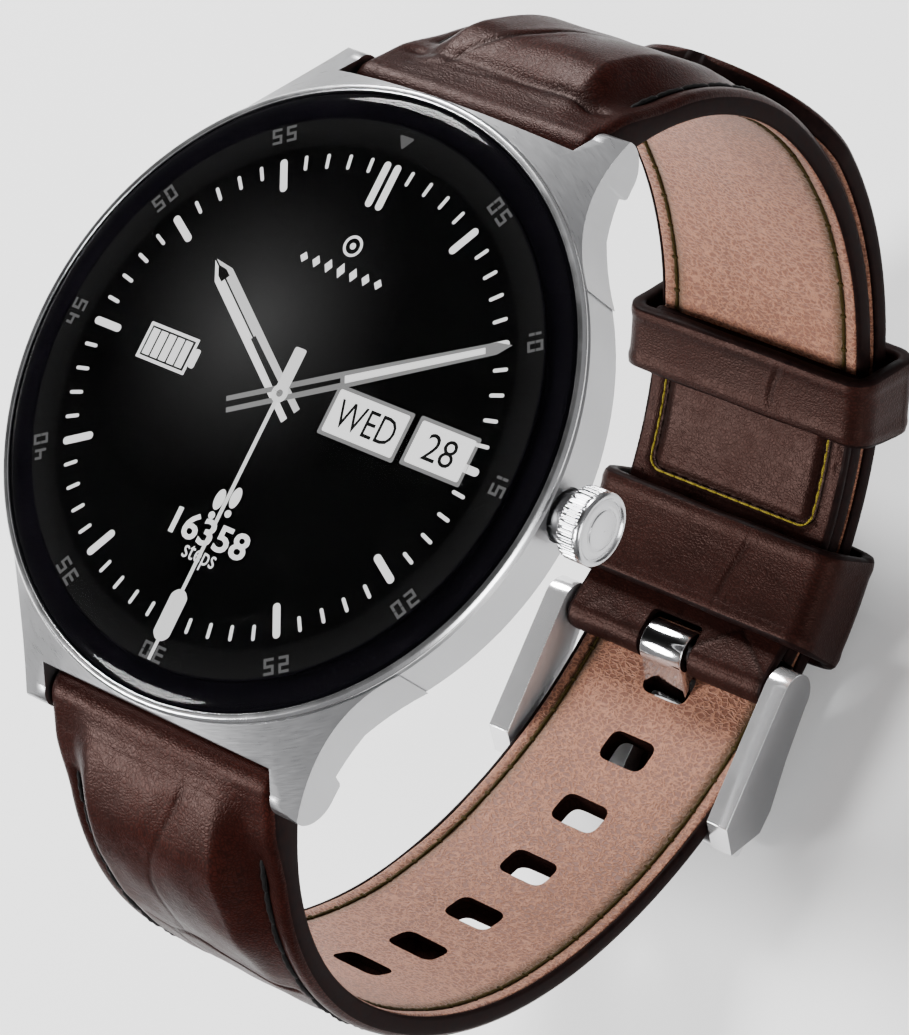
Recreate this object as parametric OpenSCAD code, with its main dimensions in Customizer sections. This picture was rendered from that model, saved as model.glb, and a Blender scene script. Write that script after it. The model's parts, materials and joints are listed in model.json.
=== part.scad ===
// Round smartwatch on a padded leather strap, closed as it is worn.
// Origin: centre of the case back. +Z: out of the dial. +Y: 12 o'clock. +X: the crown, at 3 o'clock.

/* [Case] */
// Diameter of the round case
case_d = 47.6; // [46:0.2:49]
// Height from the case back to the top of the glass
case_h = 11.2; // [10.8:0.1:12]
// Gap between the lugs, which is the strap's width there
lug_gap = 22; // [21.6:0.1:22.4]
// Thickness of each lug at its tip
lug_t = 2.0; // [1.8:0.1:2.4]
// Distance of the spring bars from the middle of the case
bar_y = 24.7; // [24.5:0.1:25.2]
// Height of the spring bars above the case back
bar_z = 4.1; // [3.9:0.1:4.4]

/* [Crown] */
// Diameter over the knob's flutes
knob_d = 5.3; // [4.8:0.1:5.6]
// Length of the fluted knob
knob_len = 2.1; // [1.8:0.1:2.6]
// How far the crown is pressed in
crown_travel = 0.5; // [0.3:0.1:0.6]
// Number of flutes on the knob
flutes = 36; // [24:2:44]

/* [Strap] */
// Width of the strap at the buckle
strap_tip_w = 20; // [19:0.2:20.4]
// Thickness of the strap where it isn't padded
strap_t = 2.0; // [1.8:0.1:2.2]
// Thickness of the tail that runs through the keepers
tail_t = 1.8; // [1.6:0.1:2.0]
// Inner radius of the closed loop at its lower corners
loop_r = 32.7; // [32:0.1:33.4]
// Half of the flat step between the two corner centres
loop_half = 3; // [2.6:0.1:3.4]
// How far the corner centres lie below the case back
loop_drop = 18.8; // [18:0.2:20]
// Space between adjustment holes
hole_pitch = 6.8; // [6.4:0.1:7.2]
// Number of adjustment holes
hole_count = 7; // [5:1:7]

/* [Buckle] */
// Thickness of each buckle arm
arm_t = 2.0; // [1.8:0.1:2.4]
// Distance from the buckle bar to the front bar
buckle_len = 13.2; // [12.8:0.2:14]
// Width of the tongue
tongue_w = 4.2; // [3.8:0.1:4.4]

/* [Hidden] */

$fn = 96;
eps = 0.01;
gap = 0.3;

// Case heights, from the back up
case_r = case_d / 2;
glass_r = case_r - 0.7;
wall_bottom = 5.3;
wall_top = case_h - 1.6;
rim_z = case_h - 1.1;
cavity_r = 21.6;
back_r = 21.2;
back_flat_r = 18.2;
panel_r = 20.9;
panel_top = case_h - 0.8;
board_z = 7.2;
board_t = 0.8;
back_floor = 1.3;
screw_r = 16.5;
pins_y = 15.2;

// Crown, from the case wall outwards
crown_z = 7.1;
hub_r = 1.85;
knob_x = case_r + 1.15;
hub_in = case_r - 0.2;
stem_r = 0.8;
stem_in = 19.2;

// Lugs and spring bars
lug_in = lug_gap / 2;
lug_out = lug_in + lug_t;
lug_tip_r = 1.75;
flare_slope = 0.85;
flow_r = 22;
flow_x = lug_out + flow_r;
flow_y = sqrt(pow(case_r + flow_r, 2) - pow(flow_x, 2));
bar_r = 0.75;
bar_bore = 0.55;
pin_r = 0.4;
pin_hole = 0.45;

// Strap loop. Every arc runs about an axis parallel to X.
top_w = lug_gap - 0.3;
mid_w = strap_tip_w + 0.5;
corner_z = -loop_drop;
outer_r = loop_r + strap_t;
tail_in = outer_r + gap;
tail_out = tail_in + tail_t;
pad_out_shift = 3.5;
pad_out_lift = 1.5;
pad_out_r = norm([outer_r - pad_out_shift, pad_out_lift]);
pad_in_shift = 7.8;
pad_top = bar_z + 1.7;
pad_core_top = bar_z - 2.4;
pad_core_bottom = corner_z + 5;

// The long half leaves its corner on a flatter arc, which carries it outside the short half's end.
step_out = tail_in - loop_r;
ease_a = 2 * atan(step_out / (2 * loop_half));
ease_d = 2 * loop_half / sin(ease_a);
ease_r = loop_r + ease_d;
ease_z = corner_z + ease_d * cos(ease_a);

// Buckle bar, at the short half's folded end
pivot_y = 0.6;
pivot_z = -51.6;
fold_r = 1.7;
flap_t = 0.8;
flap_end = -47;
slot_w = tongue_w + 1.0;
arm_in = strap_tip_w / 2 + 0.4;

// Keepers: a band that passes inside the short half and outside the tail
keeper_t = 1.1;
keeper_in = loop_r - flap_t - 0.4;
keeper_out = tail_out + gap;
keeper_half = 11;
fixed_keeper_a = [-88, -73];
free_keeper_a = [-56.5, -46];

// ---------- helpers ----------

// Draws children about an axis along X: local x is world Y, local y is world Z, local z is world X.
module about_x(y, z) {
    translate([0, y, z]) rotate([90, 0, 90]) children();
}

// A band between two radii and two angles, w wide, about an axis along X.
module arc_band(y, z, r_in, r_out, a_from, a_to, w) {
    about_x(y, z)
        rotate_extrude(angle = a_to - a_from, start = a_from, $fn = 180)
            translate([r_in, -w / 2]) square([r_out - r_in, w]);
}

// A rectangle w by h with rounded corners, centred.
module round_rect(w, h, r) {
    square([w - 2 * r, h], center = true);
    square([w, h - 2 * r], center = true);
    for (sx = [-1, 1], sy = [-1, 1])
        translate([sx * (w / 2 - r), sy * (h / 2 - r)]) circle(r, $fn = 32);
}

// A rod along X between two places.
module rod_x(x_from, x_to, r) {
    translate([x_from, 0, 0]) rotate([0, 90, 0]) cylinder(h = x_to - x_from, r = r);
}

// The same shape at 12 and at 6 o'clock.
module mirrored_y() {
    children();
    mirror([0, 1, 0]) children();
}

module mirrored_x() {
    children();
    mirror([1, 0, 0]) children();
}

// Places children at the four case back screws.
module at_screws() {
    for (a = [45:90:315])
        rotate([0, 0, a]) translate([screw_r, 0, 0]) children();
}

// ---------- case ----------

// Side view of a lug: local x is world Y, local y is world Z.
module lug_side() {
    tip_top = bar_z + lug_tip_r;
    difference() {
        union() {
            polygon([[13, wall_bottom], [13, wall_top - 0.1], [21.5, wall_top - 0.1],
                     [bar_y + 0.75, tip_top - 0.15], [bar_y, bar_z],
                     [bar_y - 0.6, bar_z - lug_tip_r + 0.1], [bar_y - 2, bar_z - 1.1],
                     [bar_y - 2.3, bar_z], [19, wall_bottom]]);
            translate([bar_y, bar_z]) circle(lug_tip_r);
        }
        translate([bar_y - 4.9, bar_z - 2.9]) circle(3.5);
    }
}

// Plan of a lug's outer edge, flowing out of the round case along a concave arc.
module lug_plan() {
    difference() {
        translate([lug_in, 14.6]) square([9, 14.4]);
        translate([flow_x, flow_y]) circle(flow_r, $fn = 180);
    }
}

module lug() {
    intersection() {
        about_x(0, 0) translate([0, 0, lug_in]) linear_extrude(9) lug_side();
        linear_extrude(20) lug_plan();
    }
}

// The lugs' tops slope away from the bezel on one shallow cone.
module flare() {
    reach = 8;
    translate([0, 0, wall_top - 0.2 - flare_slope * reach])
        cylinder(h = flare_slope * reach, r1 = case_r + reach, r2 = case_r, $fn = 180);
    translate([0, 0, wall_top - 0.2 - flare_slope * reach - 12]) cylinder(h = 12, r = case_r + reach);
}

module case_frame() color("lightsteelblue") {
    wall_r = case_r - 0.05;
    difference() {
        union() {
            rotate_extrude($fn = 180)
                polygon([[cavity_r, wall_bottom], [wall_r - 0.15, wall_bottom], [wall_r, wall_bottom + 0.15],
                         [wall_r, wall_top - 0.35], [wall_r - 0.2, wall_top - 0.2], [wall_r - 0.2, wall_top],
                         [cavity_r, wall_top]]);
            intersection() {
                union() {
                    mirrored_x() mirrored_y() lug();
                    // Flat walls that close the case between the lugs
                    mirrored_y()
                        translate([-lug_in - 1, 20.8, wall_bottom])
                            cube([lug_gap + 2, 3.1, wall_top - wall_bottom - 0.1]);
                }
                flare();
            }
            translate([0, 0, crown_z]) rod_x(cavity_r - 0.4, case_r - 0.15, 2.35);
        }
        translate([0, 0, -1]) cylinder(h = 20, r = cavity_r, $fn = 180);
        // Room for the strap's rolled end
        mirrored_y() translate([0, bar_y, bar_z]) rod_x(-lug_in, lug_in, 2.0);
        // Spring bar pin holes, blind from the inside
        mirrored_y() translate([0, bar_y, bar_z]) rod_x(-lug_in - 1.4, lug_in + 1.4, pin_hole, $fn = 32);
        // Crown: a recess for the hub and a hole for the tube
        translate([0, 0, crown_z]) rod_x(case_r - 1.0, case_r + 1, 2.0);
        translate([0, 0, crown_z]) rod_x(cavity_r - 1, case_r, 1.4);
        // Microphone hole at 9 o'clock and speaker slots at 8 o'clock
        translate([0, 0, crown_z]) rod_x(-case_r - 1, -cavity_r + 1, 0.4, $fn = 32);
        for (a = [200, 206, 212])
            rotate([0, 0, a]) translate([0, 0, crown_z + 0.4]) rod_x(cavity_r - 1, case_r + 1, 0.5, $fn = 32);
    }
}

module bezel_ring() color("silver") {
    rotate_extrude($fn = 180)
        polygon([[cavity_r, wall_top], [case_r - 0.1, wall_top], [case_r, wall_top + 0.12],
                 [case_r, wall_top + 0.22], [case_r - 0.22, rim_z + 0.02], [glass_r + 0.08, rim_z + 0.06],
                 [glass_r + 0.05, rim_z - 0.1], [glass_r + 0.05, wall_top + 0.1], [cavity_r, wall_top + 0.1]]);
}

// Raised glass: a flat top, a rounded shoulder and a hollow underside for the panel.
module cover_glass() color([0.1, 0.1, 0.12, 0.6]) {
    seat_z = wall_top + 0.3;
    difference() {
        intersection() {
            translate([0, 0, seat_z]) cylinder(h = case_h - seat_z, r = glass_r, $fn = 180);
            translate([0, 0, case_h - 400]) sphere(r = 400, $fn = 180);
            translate([0, 0, rim_z - 0.9]) rotate_extrude($fn = 180) {
                square([glass_r - 2, 2.2]);
                translate([0, -1]) square([glass_r, 1.9]);
                intersection() {
                    translate([glass_r - 2.1, 0]) circle(2.1);
                    square([glass_r, 3]);
                }
            }
        }
        translate([0, 0, seat_z - 1]) cylinder(h = panel_top + 0.02 - seat_z + 1, r = panel_r + 0.1, $fn = 180);
    }
}

module glass_gasket() color("dimgray") {
    translate([0, 0, wall_top + 0.1])
        difference() {
            cylinder(h = 0.2, r = glass_r, $fn = 180);
            translate([0, 0, -1]) cylinder(h = 3, r = cavity_r, $fn = 180);
        }
}

module display_panel() color("black") {
    translate([0, 0, panel_top - 1.1]) cylinder(h = 1.1, r = panel_r, $fn = 180);
}

// Plastic carrier that holds the panel, the board and the battery.
module inner_frame() color("dimgray") {
    frame_bottom = board_z + board_t;
    frame_top = panel_top - 1.1;
    plate_z = frame_top - 0.4;
    difference() {
        union() {
            translate([0, 0, frame_bottom]) cylinder(h = frame_top - frame_bottom, r = cavity_r - 0.2);
            at_screws() translate([0, 0, back_floor + 0.02]) cylinder(h = plate_z - back_floor, r = 1.1, $fn = 32);
        }
        difference() {
            translate([0, 0, frame_bottom - 1]) cylinder(h = plate_z - frame_bottom + 1, r = cavity_r - 1.6);
            at_screws() cylinder(h = 12, r = 1.1, $fn = 32);
        }
        at_screws() cylinder(h = 4, r = 0.5, $fn = 32);
        translate([0, 0, crown_z]) rod_x(17, 23, 2.0);
    }
}

module main_board() color("darkgreen") {
    translate([0, 0, board_z]) difference() {
        cylinder(h = board_t, r = cavity_r - 1.8);
        translate([15.9, -4, -1]) cube([10, 8, 3]);
        translate([-22, -4.5, -1]) cube([6, 9, 3]);
        at_screws() translate([0, 0, -1]) cylinder(h = 3, r = 1.3, $fn = 32);
    }
}

module shield_cans() color("silver") {
    can_h = 1.1;
    for (c = [[-6.5, 7.5, 7.6, 8], [5, 7.5, 9, 8], [0, -9, 14, 7]])
        translate([c[0], c[1], board_z - can_h]) linear_extrude(can_h) round_rect(c[2], c[3], 0.8);
}

module battery() color("lightgray") {
    battery_h = 3.6;
    translate([0.5, 0, 2.3]) linear_extrude(battery_h) round_rect(17, 24, 1.6);
}

module vibration_motor() color("gray") {
    translate([-14.6, 8.4, 3.4]) {
        cylinder(h = 2.2, r = 2.4);
        translate([0, 0, 2.2]) cylinder(h = 0.4, r = 1.0);
    }
}

module speaker() color("dimgray") {
    translate([-15.4, -6.5, 3.4]) rotate([0, 0, 23]) linear_extrude(2.5) round_rect(4.4, 8, 0.6);
}

module microphone() color("gold") {
    translate([-20, 0, crown_z]) cube([2.4, 2.8, 1.2], center = true);
}

// Bent strip aerial that follows the inside of the wall.
module antenna() color("orange") {
    translate([0, 0, board_z - 1.9])
        rotate_extrude(angle = 100, start = 40)
            translate([cavity_r - 2.7, 0]) square([0.4, 1.4]);
}

// ---------- case back ----------

module back_cover() color("dimgray") {
    wall = 1.3;
    difference() {
        rotate_extrude($fn = 180)
            polygon([[0, 0], [back_flat_r, 0], [back_r - 0.9, 1.4], [back_r, 3.4],
                     [back_r, wall_bottom - 0.6], [back_r + 0.6, wall_bottom - 0.5], [back_r + 0.6, wall_bottom],
                     [0, wall_bottom]]);
        translate([0, 0, back_floor]) cylinder(h = 10, r = back_flat_r);
        translate([0, 0, 3.2]) cylinder(h = 10, r = back_r - wall);
        translate([0, 0, -1]) cylinder(h = 4, r = 8.1);
        translate([0, 0, -eps]) cylinder(h = 0.5, r = 9.5);
        for (x = [-1.6, 1.6])
            translate([x, pins_y, -1]) cylinder(h = 4, r = 0.9, $fn = 32);
        // Screw holes
        at_screws() translate([0, 0, -1]) {
            cylinder(h = 8, r = 0.5, $fn = 32);
            cylinder(h = 1.5, r = 1.05, $fn = 32);
        }
    }
    // Pocket ribs that locate the battery
    mirrored_y() translate([-8, 12.4, back_floor - eps]) cube([17, 0.8, 2.4]);
}

module back_seal() color("black") {
    seal_r = 0.2;
    translate([0, 0, wall_bottom + seal_r]) rotate_extrude($fn = 180)
        translate([cavity_r - seal_r, 0]) circle(seal_r, $fn = 24);
}

module back_screws() color("silver") {
    at_screws() difference() {
        union() {
            translate([0, 0, 0.05]) cylinder(h = 0.44, r = 1.0, $fn = 32);
            translate([0, 0, 0.4]) cylinder(h = 3.2, r = 0.48, $fn = 32);
        }
        translate([-0.7, -0.12, -0.2]) cube([1.4, 0.24, 0.5]);
        translate([-0.12, -0.7, -0.2]) cube([0.24, 1.4, 0.5]);
    }
}

module sensor_window() color([0.05, 0.05, 0.08]) {
    cylinder(h = 0.49, r = 9.45);
}

module sensor_board() color("darkgreen") {
    translate([0, 0, 1.5]) cylinder(h = 0.6, r = 7.8);
}

module sensor_leds() color("limegreen") {
    translate([0, 0, 0.8]) {
        for (a = [0:90:270])
            rotate([0, 0, a]) translate([4.6, 0, 0.35]) cube([1.6, 1.2, 0.7], center = true);
        translate([0, 0, 0.35]) cube([2.8, 2.8, 0.7], center = true);
    }
}

module charging_pins() color("gold") {
    for (x = [-1.6, 1.6])
        translate([x, pins_y, 0.05]) {
            cylinder(h = 1.3, r = 0.85, $fn = 32);
            translate([0, 0, 1.3]) cylinder(h = 0.5, r = 1.2, $fn = 32);
        }
}

module charging_magnets() color("silver") {
    mirrored_x()
        translate([5.4, pins_y - 0.2, back_floor + 0.52]) rotate([0, 0, -20]) cube([3, 0.8, 1.0], center = true);
}

// ---------- crown ----------

module crown_tube() color("silver") {
    translate([0, 0, crown_z]) difference() {
        union() {
            rod_x(cavity_r - 0.6, case_r - 1.05, 1.35);
            rod_x(cavity_r - 1.4, cavity_r - 0.6, 1.6);
        }
        rod_x(cavity_r - 2, case_r, stem_r + 0.05);
        rod_x(case_r - 2.65, case_r, 1.12);
    }
}

module crown_switch() color("dimgray") {
    translate([17.4, 0, crown_z]) cube([1.6, 3.4, 2.6], center = true);
    translate([16.4, 0, crown_z]) cube([0.4, 6, 3.2], center = true);
}

module switch_button() color("gold") {
    translate([0, 0, crown_z]) rod_x(18.2 + crown_travel + 0.05, stem_in, 0.55);
}

// Fluted knob with a domed end and a plain hub.
module crown_knob() color("silver") {
    dome_r = 9;
    knob_r = knob_d / 2;
    translate([0, 0, crown_z]) difference() {
        union() {
            rod_x(hub_in, knob_x + eps, hub_r);
            translate([knob_x, 0, 0]) rotate([0, 90, 0]) {
                translate([0, 0, 0.3]) cylinder(h = knob_len - 0.6, r = knob_r);
                cylinder(h = 0.3, r1 = knob_r - 0.25, r2 = knob_r);
                translate([0, 0, knob_len - 0.3]) cylinder(h = 0.3, r1 = knob_r, r2 = knob_r - 0.3);
                intersection() {
                    translate([0, 0, knob_len - dome_r + 0.1]) sphere(r = dome_r);
                    translate([0, 0, 0.5]) cylinder(h = 4, r = knob_r - 0.45);
                }
            }
        }
        for (i = [0 : flutes - 1])
            rotate([i * 360 / flutes, 0, 0])
                translate([0, knob_r + 0.06, 0]) rod_x(knob_x - 0.1, knob_x + knob_len - 0.45, 0.16, $fn = 16);
        rod_x(knob_x - 2, knob_x + 0.8, 0.62);
    }
}

module crown_stem() color("gray") {
    translate([0, 0, crown_z]) difference() {
        union() {
            rod_x(stem_in, hub_in, stem_r);
            rod_x(hub_in, knob_x + 0.75, 0.6);
        }
        // Grooves for the two seals and the clip
        for (x = [case_r - 2.0, case_r - 1.4])
            translate([x, 0, 0]) difference() {
                rod_x(0, 0.4, 2);
                rod_x(-1, 2, 0.55);
            }
        translate([cavity_r - 1.8, 0, 0]) difference() {
            rod_x(0, 0.3, 2);
            rod_x(-1, 2, 0.55);
        }
    }
}

module crown_seals() color("black") {
    for (x = [case_r - 1.8, case_r - 1.2])
        translate([x, 0, crown_z]) rotate([0, 90, 0])
            rotate_extrude() translate([0.82, 0]) circle(0.19, $fn = 16);
}

module crown_clip() color("silver") {
    translate([cavity_r - 1.77, 0, crown_z]) difference() {
        rod_x(0, 0.24, 1.5);
        rod_x(-1, 1, 0.58);
        translate([-1, 0, -0.45]) cube([3, 3, 0.9]);
    }
}

// ---------- spring bars ----------

module bar_tube(half_len) {
    difference() {
        rod_x(-half_len, half_len, bar_r, $fn = 32);
        rod_x(-half_len - 1, half_len + 1, bar_bore, $fn = 32);
    }
}

// A sprung tip: a piston inside the tube, and a pin that reaches into its hole.
module bar_tip(half_len, reach) {
    rod_x(half_len - 2.4, half_len + 0.15, bar_bore - 0.03, $fn = 32);
    rod_x(half_len + 0.15, half_len + reach, pin_r, $fn = 32);
}

module bar_tip_left(half_len, reach) mirror([1, 0, 0]) bar_tip(half_len, reach);

lug_bar_half = lug_in - 1.4;
lug_bar_reach = 2.5;
buckle_bar_half = arm_in - 1.4;
buckle_bar_reach = 2.6;

module upper_bar_tube() color("gray") translate([0, bar_y, bar_z]) bar_tube(lug_bar_half);
module upper_bar_tip_left() color("silver") translate([0, bar_y, bar_z]) bar_tip_left(lug_bar_half, lug_bar_reach);
module upper_bar_tip_right() color("silver") translate([0, bar_y, bar_z]) bar_tip(lug_bar_half, lug_bar_reach);
module lower_bar_tube() color("gray") translate([0, -bar_y, bar_z]) bar_tube(lug_bar_half);
module lower_bar_tip_left() color("silver") translate([0, -bar_y, bar_z]) bar_tip_left(lug_bar_half, lug_bar_reach);
module lower_bar_tip_right() color("silver") translate([0, -bar_y, bar_z]) bar_tip(lug_bar_half, lug_bar_reach);
module buckle_bar_tube() color("gray") translate([0, pivot_y, pivot_z]) bar_tube(buckle_bar_half);
module buckle_bar_tip_left() color("silver")
    translate([0, pivot_y, pivot_z]) bar_tip_left(buckle_bar_half, buckle_bar_reach);
module buckle_bar_tip_right() color("silver")
    translate([0, pivot_y, pivot_z]) bar_tip(buckle_bar_half, buckle_bar_reach);

// One coil spring along X, swept as a five-sided wire.
module coil_x(len, coil_r, wire_r, turns) {
    per_turn = 8;
    sides = 5;
    rings = turns * per_turn;
    function ring(i) = [
        for (k = [0 : sides - 1])
            let (a = 360 * i / per_turn, b = 360 * k / sides, r = coil_r + wire_r * cos(b))
            [len * (i / rings - 0.5) + wire_r * sin(b), r * cos(a), r * sin(a)]];
    points = [for (i = [0 : rings]) each ring(i)];
    sides_faces = [
        for (i = [0 : rings - 1], k = [0 : sides - 1])
            let (a = i * sides + k, b = i * sides + (k + 1) % sides)
            [a, a + sides, b + sides, b]];
    first = [for (k = [0 : sides - 1]) k];
    last = [for (k = [sides - 1 : -1 : 0]) rings * sides + k];
    polyhedron(points, concat([first], sides_faces, [last]), convexity = 8);
}

module bar_springs() color("gray") {
    spring_len = 10;
    mirrored_y() translate([0, bar_y, bar_z]) coil_x(spring_len, 0.38, 0.09, 12);
    translate([0, pivot_y, pivot_z]) coil_x(spring_len, 0.38, 0.09, 12);
}

// ---------- strap ----------

// Limits the strap's width, which narrows from the lugs to the buckle.
module strap_width(inset = 0) {
    top = top_w / 2 - inset;
    mid = mid_w / 2 - inset;
    tip = strap_tip_w / 2 - inset;
    translate([0, 60, 0]) rotate([90, 0, 0]) linear_extrude(120)
        polygon([[-top, bar_z + 6], [top, bar_z + 6], [top, bar_z - 3], [mid, corner_z], [tip, corner_z - 22],
                 [tip, -70], [-tip, -70], [-tip, corner_z - 22], [-mid, corner_z], [-top, bar_z - 3]]);
}

// Side view of the padded stretch between the lug and the loop's widest point.
// in_t and out_t strip that much off the inner and the outer face.
module pad_side(in_t, out_t, z_from, z_to) {
    difference() {
        intersection() {
            translate([loop_half + pad_out_shift, corner_z + pad_out_lift])
                circle(pad_out_r - out_t, $fn = 180);
            translate([18, z_from]) square([30, z_to - z_from]);
        }
        translate([loop_half + pad_in_shift, corner_z]) circle(loop_r - pad_in_shift + in_t, $fn = 180);
    }
}

module pad_solid(in_t, out_t, z_from, z_to) {
    about_x(0, 0) translate([0, 0, -12]) linear_extrude(24) pad_side(in_t, out_t, z_from, z_to);
}

// The padding: it fills the strap's core and stops short of its edges.
module pad_core() {
    intersection() {
        pad_solid(0.7, 1.1, pad_core_bottom, pad_core_top);
        strap_width(2.0);
    }
}

// Outer leather of the padded stretch, with the end rolled around its spring bar.
module pad_leather() {
    difference() {
        intersection() {
            union() {
                difference() {
                    pad_solid(0.7, 0, corner_z, pad_top - 0.4);
                    // Trims the stretch beside the case wall and inside the rolled end
                    translate([-20, 0, bar_z + 0.6]) cube([40, bar_y - 0.3, 10]);
                    translate([-20, 0, bar_z - 1.7]) cube([40, bar_y - 1.65, 10]);
                    // Slopes the padding down to the rolled end
                    translate([0, bar_y, bar_z]) rotate([-30, 0, 0]) translate([-20, -5, 2]) cube([40, 12, 5]);
                }
                translate([0, bar_y, bar_z]) rod_x(-12, 12, 1.65);
            }
            strap_width();
        }
        pad_core();
        translate([0, bar_y, bar_z]) rod_x(-20, 20, bar_r, $fn = 32);
    }
}

module pad_lining() {
    intersection() {
        difference() {
            pad_solid(0, 0, corner_z, bar_z - 2.2);
            pad_solid(0.7, -5, corner_z - 1, bar_z + 5);
            translate([0, bar_y, bar_z]) rod_x(-20, 20, 1.65);
        }
        strap_width();
    }
}

// One line of thread on each side of the strap, laid in arcs.
module thread_arcs(y, z, r, a_from, a_to, inset) {
    for (s = [-1, 1])
        about_x(y, z)
            rotate_extrude(angle = a_to - a_from, start = a_from, $fn = 120)
                translate([r, s * (strap_tip_w / 2 - inset)]) circle(0.14, $fn = 16);
}

module upper_strap_padding() color("tan") pad_core();
module lower_strap_padding() color("tan") mirror([0, 1, 0]) pad_core();

module upper_strap_leather() color("saddlebrown") {
    pad_leather();
    intersection() {
        arc_band(loop_half, corner_z, loop_r + 0.7, outer_r, -89.9, 0, 30);
        strap_width();
    }
}

module upper_strap_lining() color("rosybrown") {
    pad_lining();
    intersection() {
        arc_band(loop_half, corner_z, loop_r, loop_r + 0.7, -89.9, 0, 30);
        strap_width();
    }
}

module upper_strap_thread() color("black") {
    thread_arcs(loop_half, corner_z, loop_r - 0.14, flap_end + 1, -2, 1.6);
    thread_arcs(loop_half + pad_out_shift, corner_z + pad_out_lift, pad_out_r + 0.14, -1, 38, 1.6);
}

// Folded leather that holds the buckle bar and is sewn back against the lining.
module buckle_loop() color("saddlebrown") {
    difference() {
        intersection() {
            union() {
                translate([0, pivot_y, pivot_z]) rod_x(-12, 12, fold_r);
                arc_band(loop_half, corner_z, loop_r - flap_t, loop_r, -90, flap_end, 30);
                translate([-12, pivot_y, pivot_z - fold_r]) cube([24, loop_half + 0.04 - pivot_y, 2 * fold_r]);
            }
            strap_width();
        }
        translate([0, pivot_y, pivot_z]) rod_x(-20, 20, bar_r, $fn = 32);
        translate([-slot_w / 2, pivot_y - 4, pivot_z - 4]) cube([slot_w, 6.6, 8]);
    }
}

module loop_thread() color("gold") {
    thread_arcs(loop_half, corner_z, loop_r - flap_t - 0.14, fixed_keeper_a[1] + 2, free_keeper_a[0] - 1, 1.9);
}

module keeper_band(a) {
    about_x(loop_half, corner_z)
        rotate_extrude(angle = a[1] - a[0], start = a[0], $fn = 180)
            difference() {
                translate([(keeper_in + keeper_out) / 2, 0])
                    round_rect(keeper_out - keeper_in + 2 * keeper_t, 2 * (keeper_half + keeper_t), 1.6);
                translate([(keeper_in + keeper_out) / 2, 0])
                    round_rect(keeper_out - keeper_in, 2 * keeper_half, 0.7);
            }
}

module fixed_keeper() color("saddlebrown") keeper_band(fixed_keeper_a);
module free_keeper() color("saddlebrown") keeper_band(free_keeper_a);

// Place of hole i along the long half: [axis y, axis z, angle from straight down].
first_hole_a = 7;
ease_len = ease_r * (ease_a - first_hole_a) * PI / 180;
function hole_place(i) =
    let (s = i * hole_pitch)
    s < ease_len
        ? [loop_half, ease_z, first_hole_a + s / ease_r * 180 / PI]
        : [-loop_half, corner_z, ease_a + (s - ease_len) / loop_r * 180 / PI];

module strap_holes() {
    for (i = [0 : hole_count - 1]) {
        p = hole_place(i);
        about_x(p[0], p[1]) rotate([0, 0, -p[2]]) translate([0, -30, 0]) rotate([90, 0, 0])
            linear_extrude(20) round_rect(3.2, 4.9, 1.2);
    }
}

// A layer of the long half: its corner, the eased stretch and the tail. t_in and t_out are its faces'
// depths from the lining's face, and tail_from and tail_to the same along the thinner tail.
module long_layer(t_in, t_out, tail_from, tail_to) {
    arc_band(-loop_half, corner_z, loop_r + t_in, loop_r + t_out, 180, 270 - ease_a, 30);
    arc_band(loop_half, ease_z, ease_r + t_in, ease_r + t_out, 270 - ease_a, 270, 30);
    intersection() {
        arc_band(loop_half, corner_z, tail_in + tail_from, tail_in + tail_to, 270, 365, 30);
        // Rounded tip
        union() {
            translate([-15, 0, -70]) cube([30, 60, 60 + corner_z - 1]);
            translate([0, 0, corner_z - 8.4]) rotate([-90, 0, 0]) cylinder(h = 60, r = strap_tip_w / 2 + 0.2);
        }
    }
}

module lower_strap_leather() color("saddlebrown") {
    mirror([0, 1, 0]) pad_leather();
    difference() {
        intersection() {
            long_layer(0.7, strap_t, 0.6, tail_t);
            strap_width();
        }
        strap_holes();
    }
}

module lower_strap_lining() color("rosybrown") {
    mirror([0, 1, 0]) pad_lining();
    difference() {
        intersection() {
            long_layer(0, 0.7, 0, 0.6);
            strap_width();
        }
        strap_holes();
    }
}

module lower_strap_thread() color("black") {
    thread_arcs(-loop_half, corner_z, loop_r - 0.14, 182, 269.5 - ease_a, 1.6);
    thread_arcs(loop_half, ease_z, ease_r - 0.14, 270 - ease_a, 266, 1.6);
    mirror([0, 1, 0])
        thread_arcs(loop_half + pad_out_shift, corner_z + pad_out_lift, pad_out_r + 0.14, -1, 38, 1.6);
}

// ---------- buckle ----------

// Side view of a buckle arm: local x is world Y, local y is world Z, from the bar at the origin.
module arm_side() {
    circle(2.0);
    polygon([[0, 2.0], [-buckle_len + 1.2, 0.9], [-buckle_len - 0.4, -1.6], [-buckle_len + 2.4, -4.2],
             [-buckle_len + 4.4, -4.2], [-4.5, -2.9], [0, -2.0]]);
}

module buckle_frame() color("silver") {
    bar_y0 = pivot_y - buckle_len;
    bar_z0 = pivot_z - 3.4;
    difference() {
        union() {
            for (s = [-1, 1])
                translate([s * (arm_in + arm_t / 2), 0, 0])
                    about_x(pivot_y, pivot_z) linear_extrude(arm_t, center = true) arm_side();
            // Front bar, outside the strap
            translate([-arm_in - arm_t / 2, bar_y0 - 0.2, bar_z0 - 1.1]) cube([2 * arm_in + arm_t, 2.6, 2.0]);
        }
        translate([0, pivot_y, pivot_z]) rod_x(-arm_in - 1.5, arm_in + 1.5, pin_hole, $fn = 32);
        // Dip that the tongue's end rests in
        translate([-tongue_w / 2 - 0.3, bar_y0 - 2, bar_z0 - 2.0]) cube([tongue_w + 0.6, 6, 1.15]);
    }
}

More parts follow.
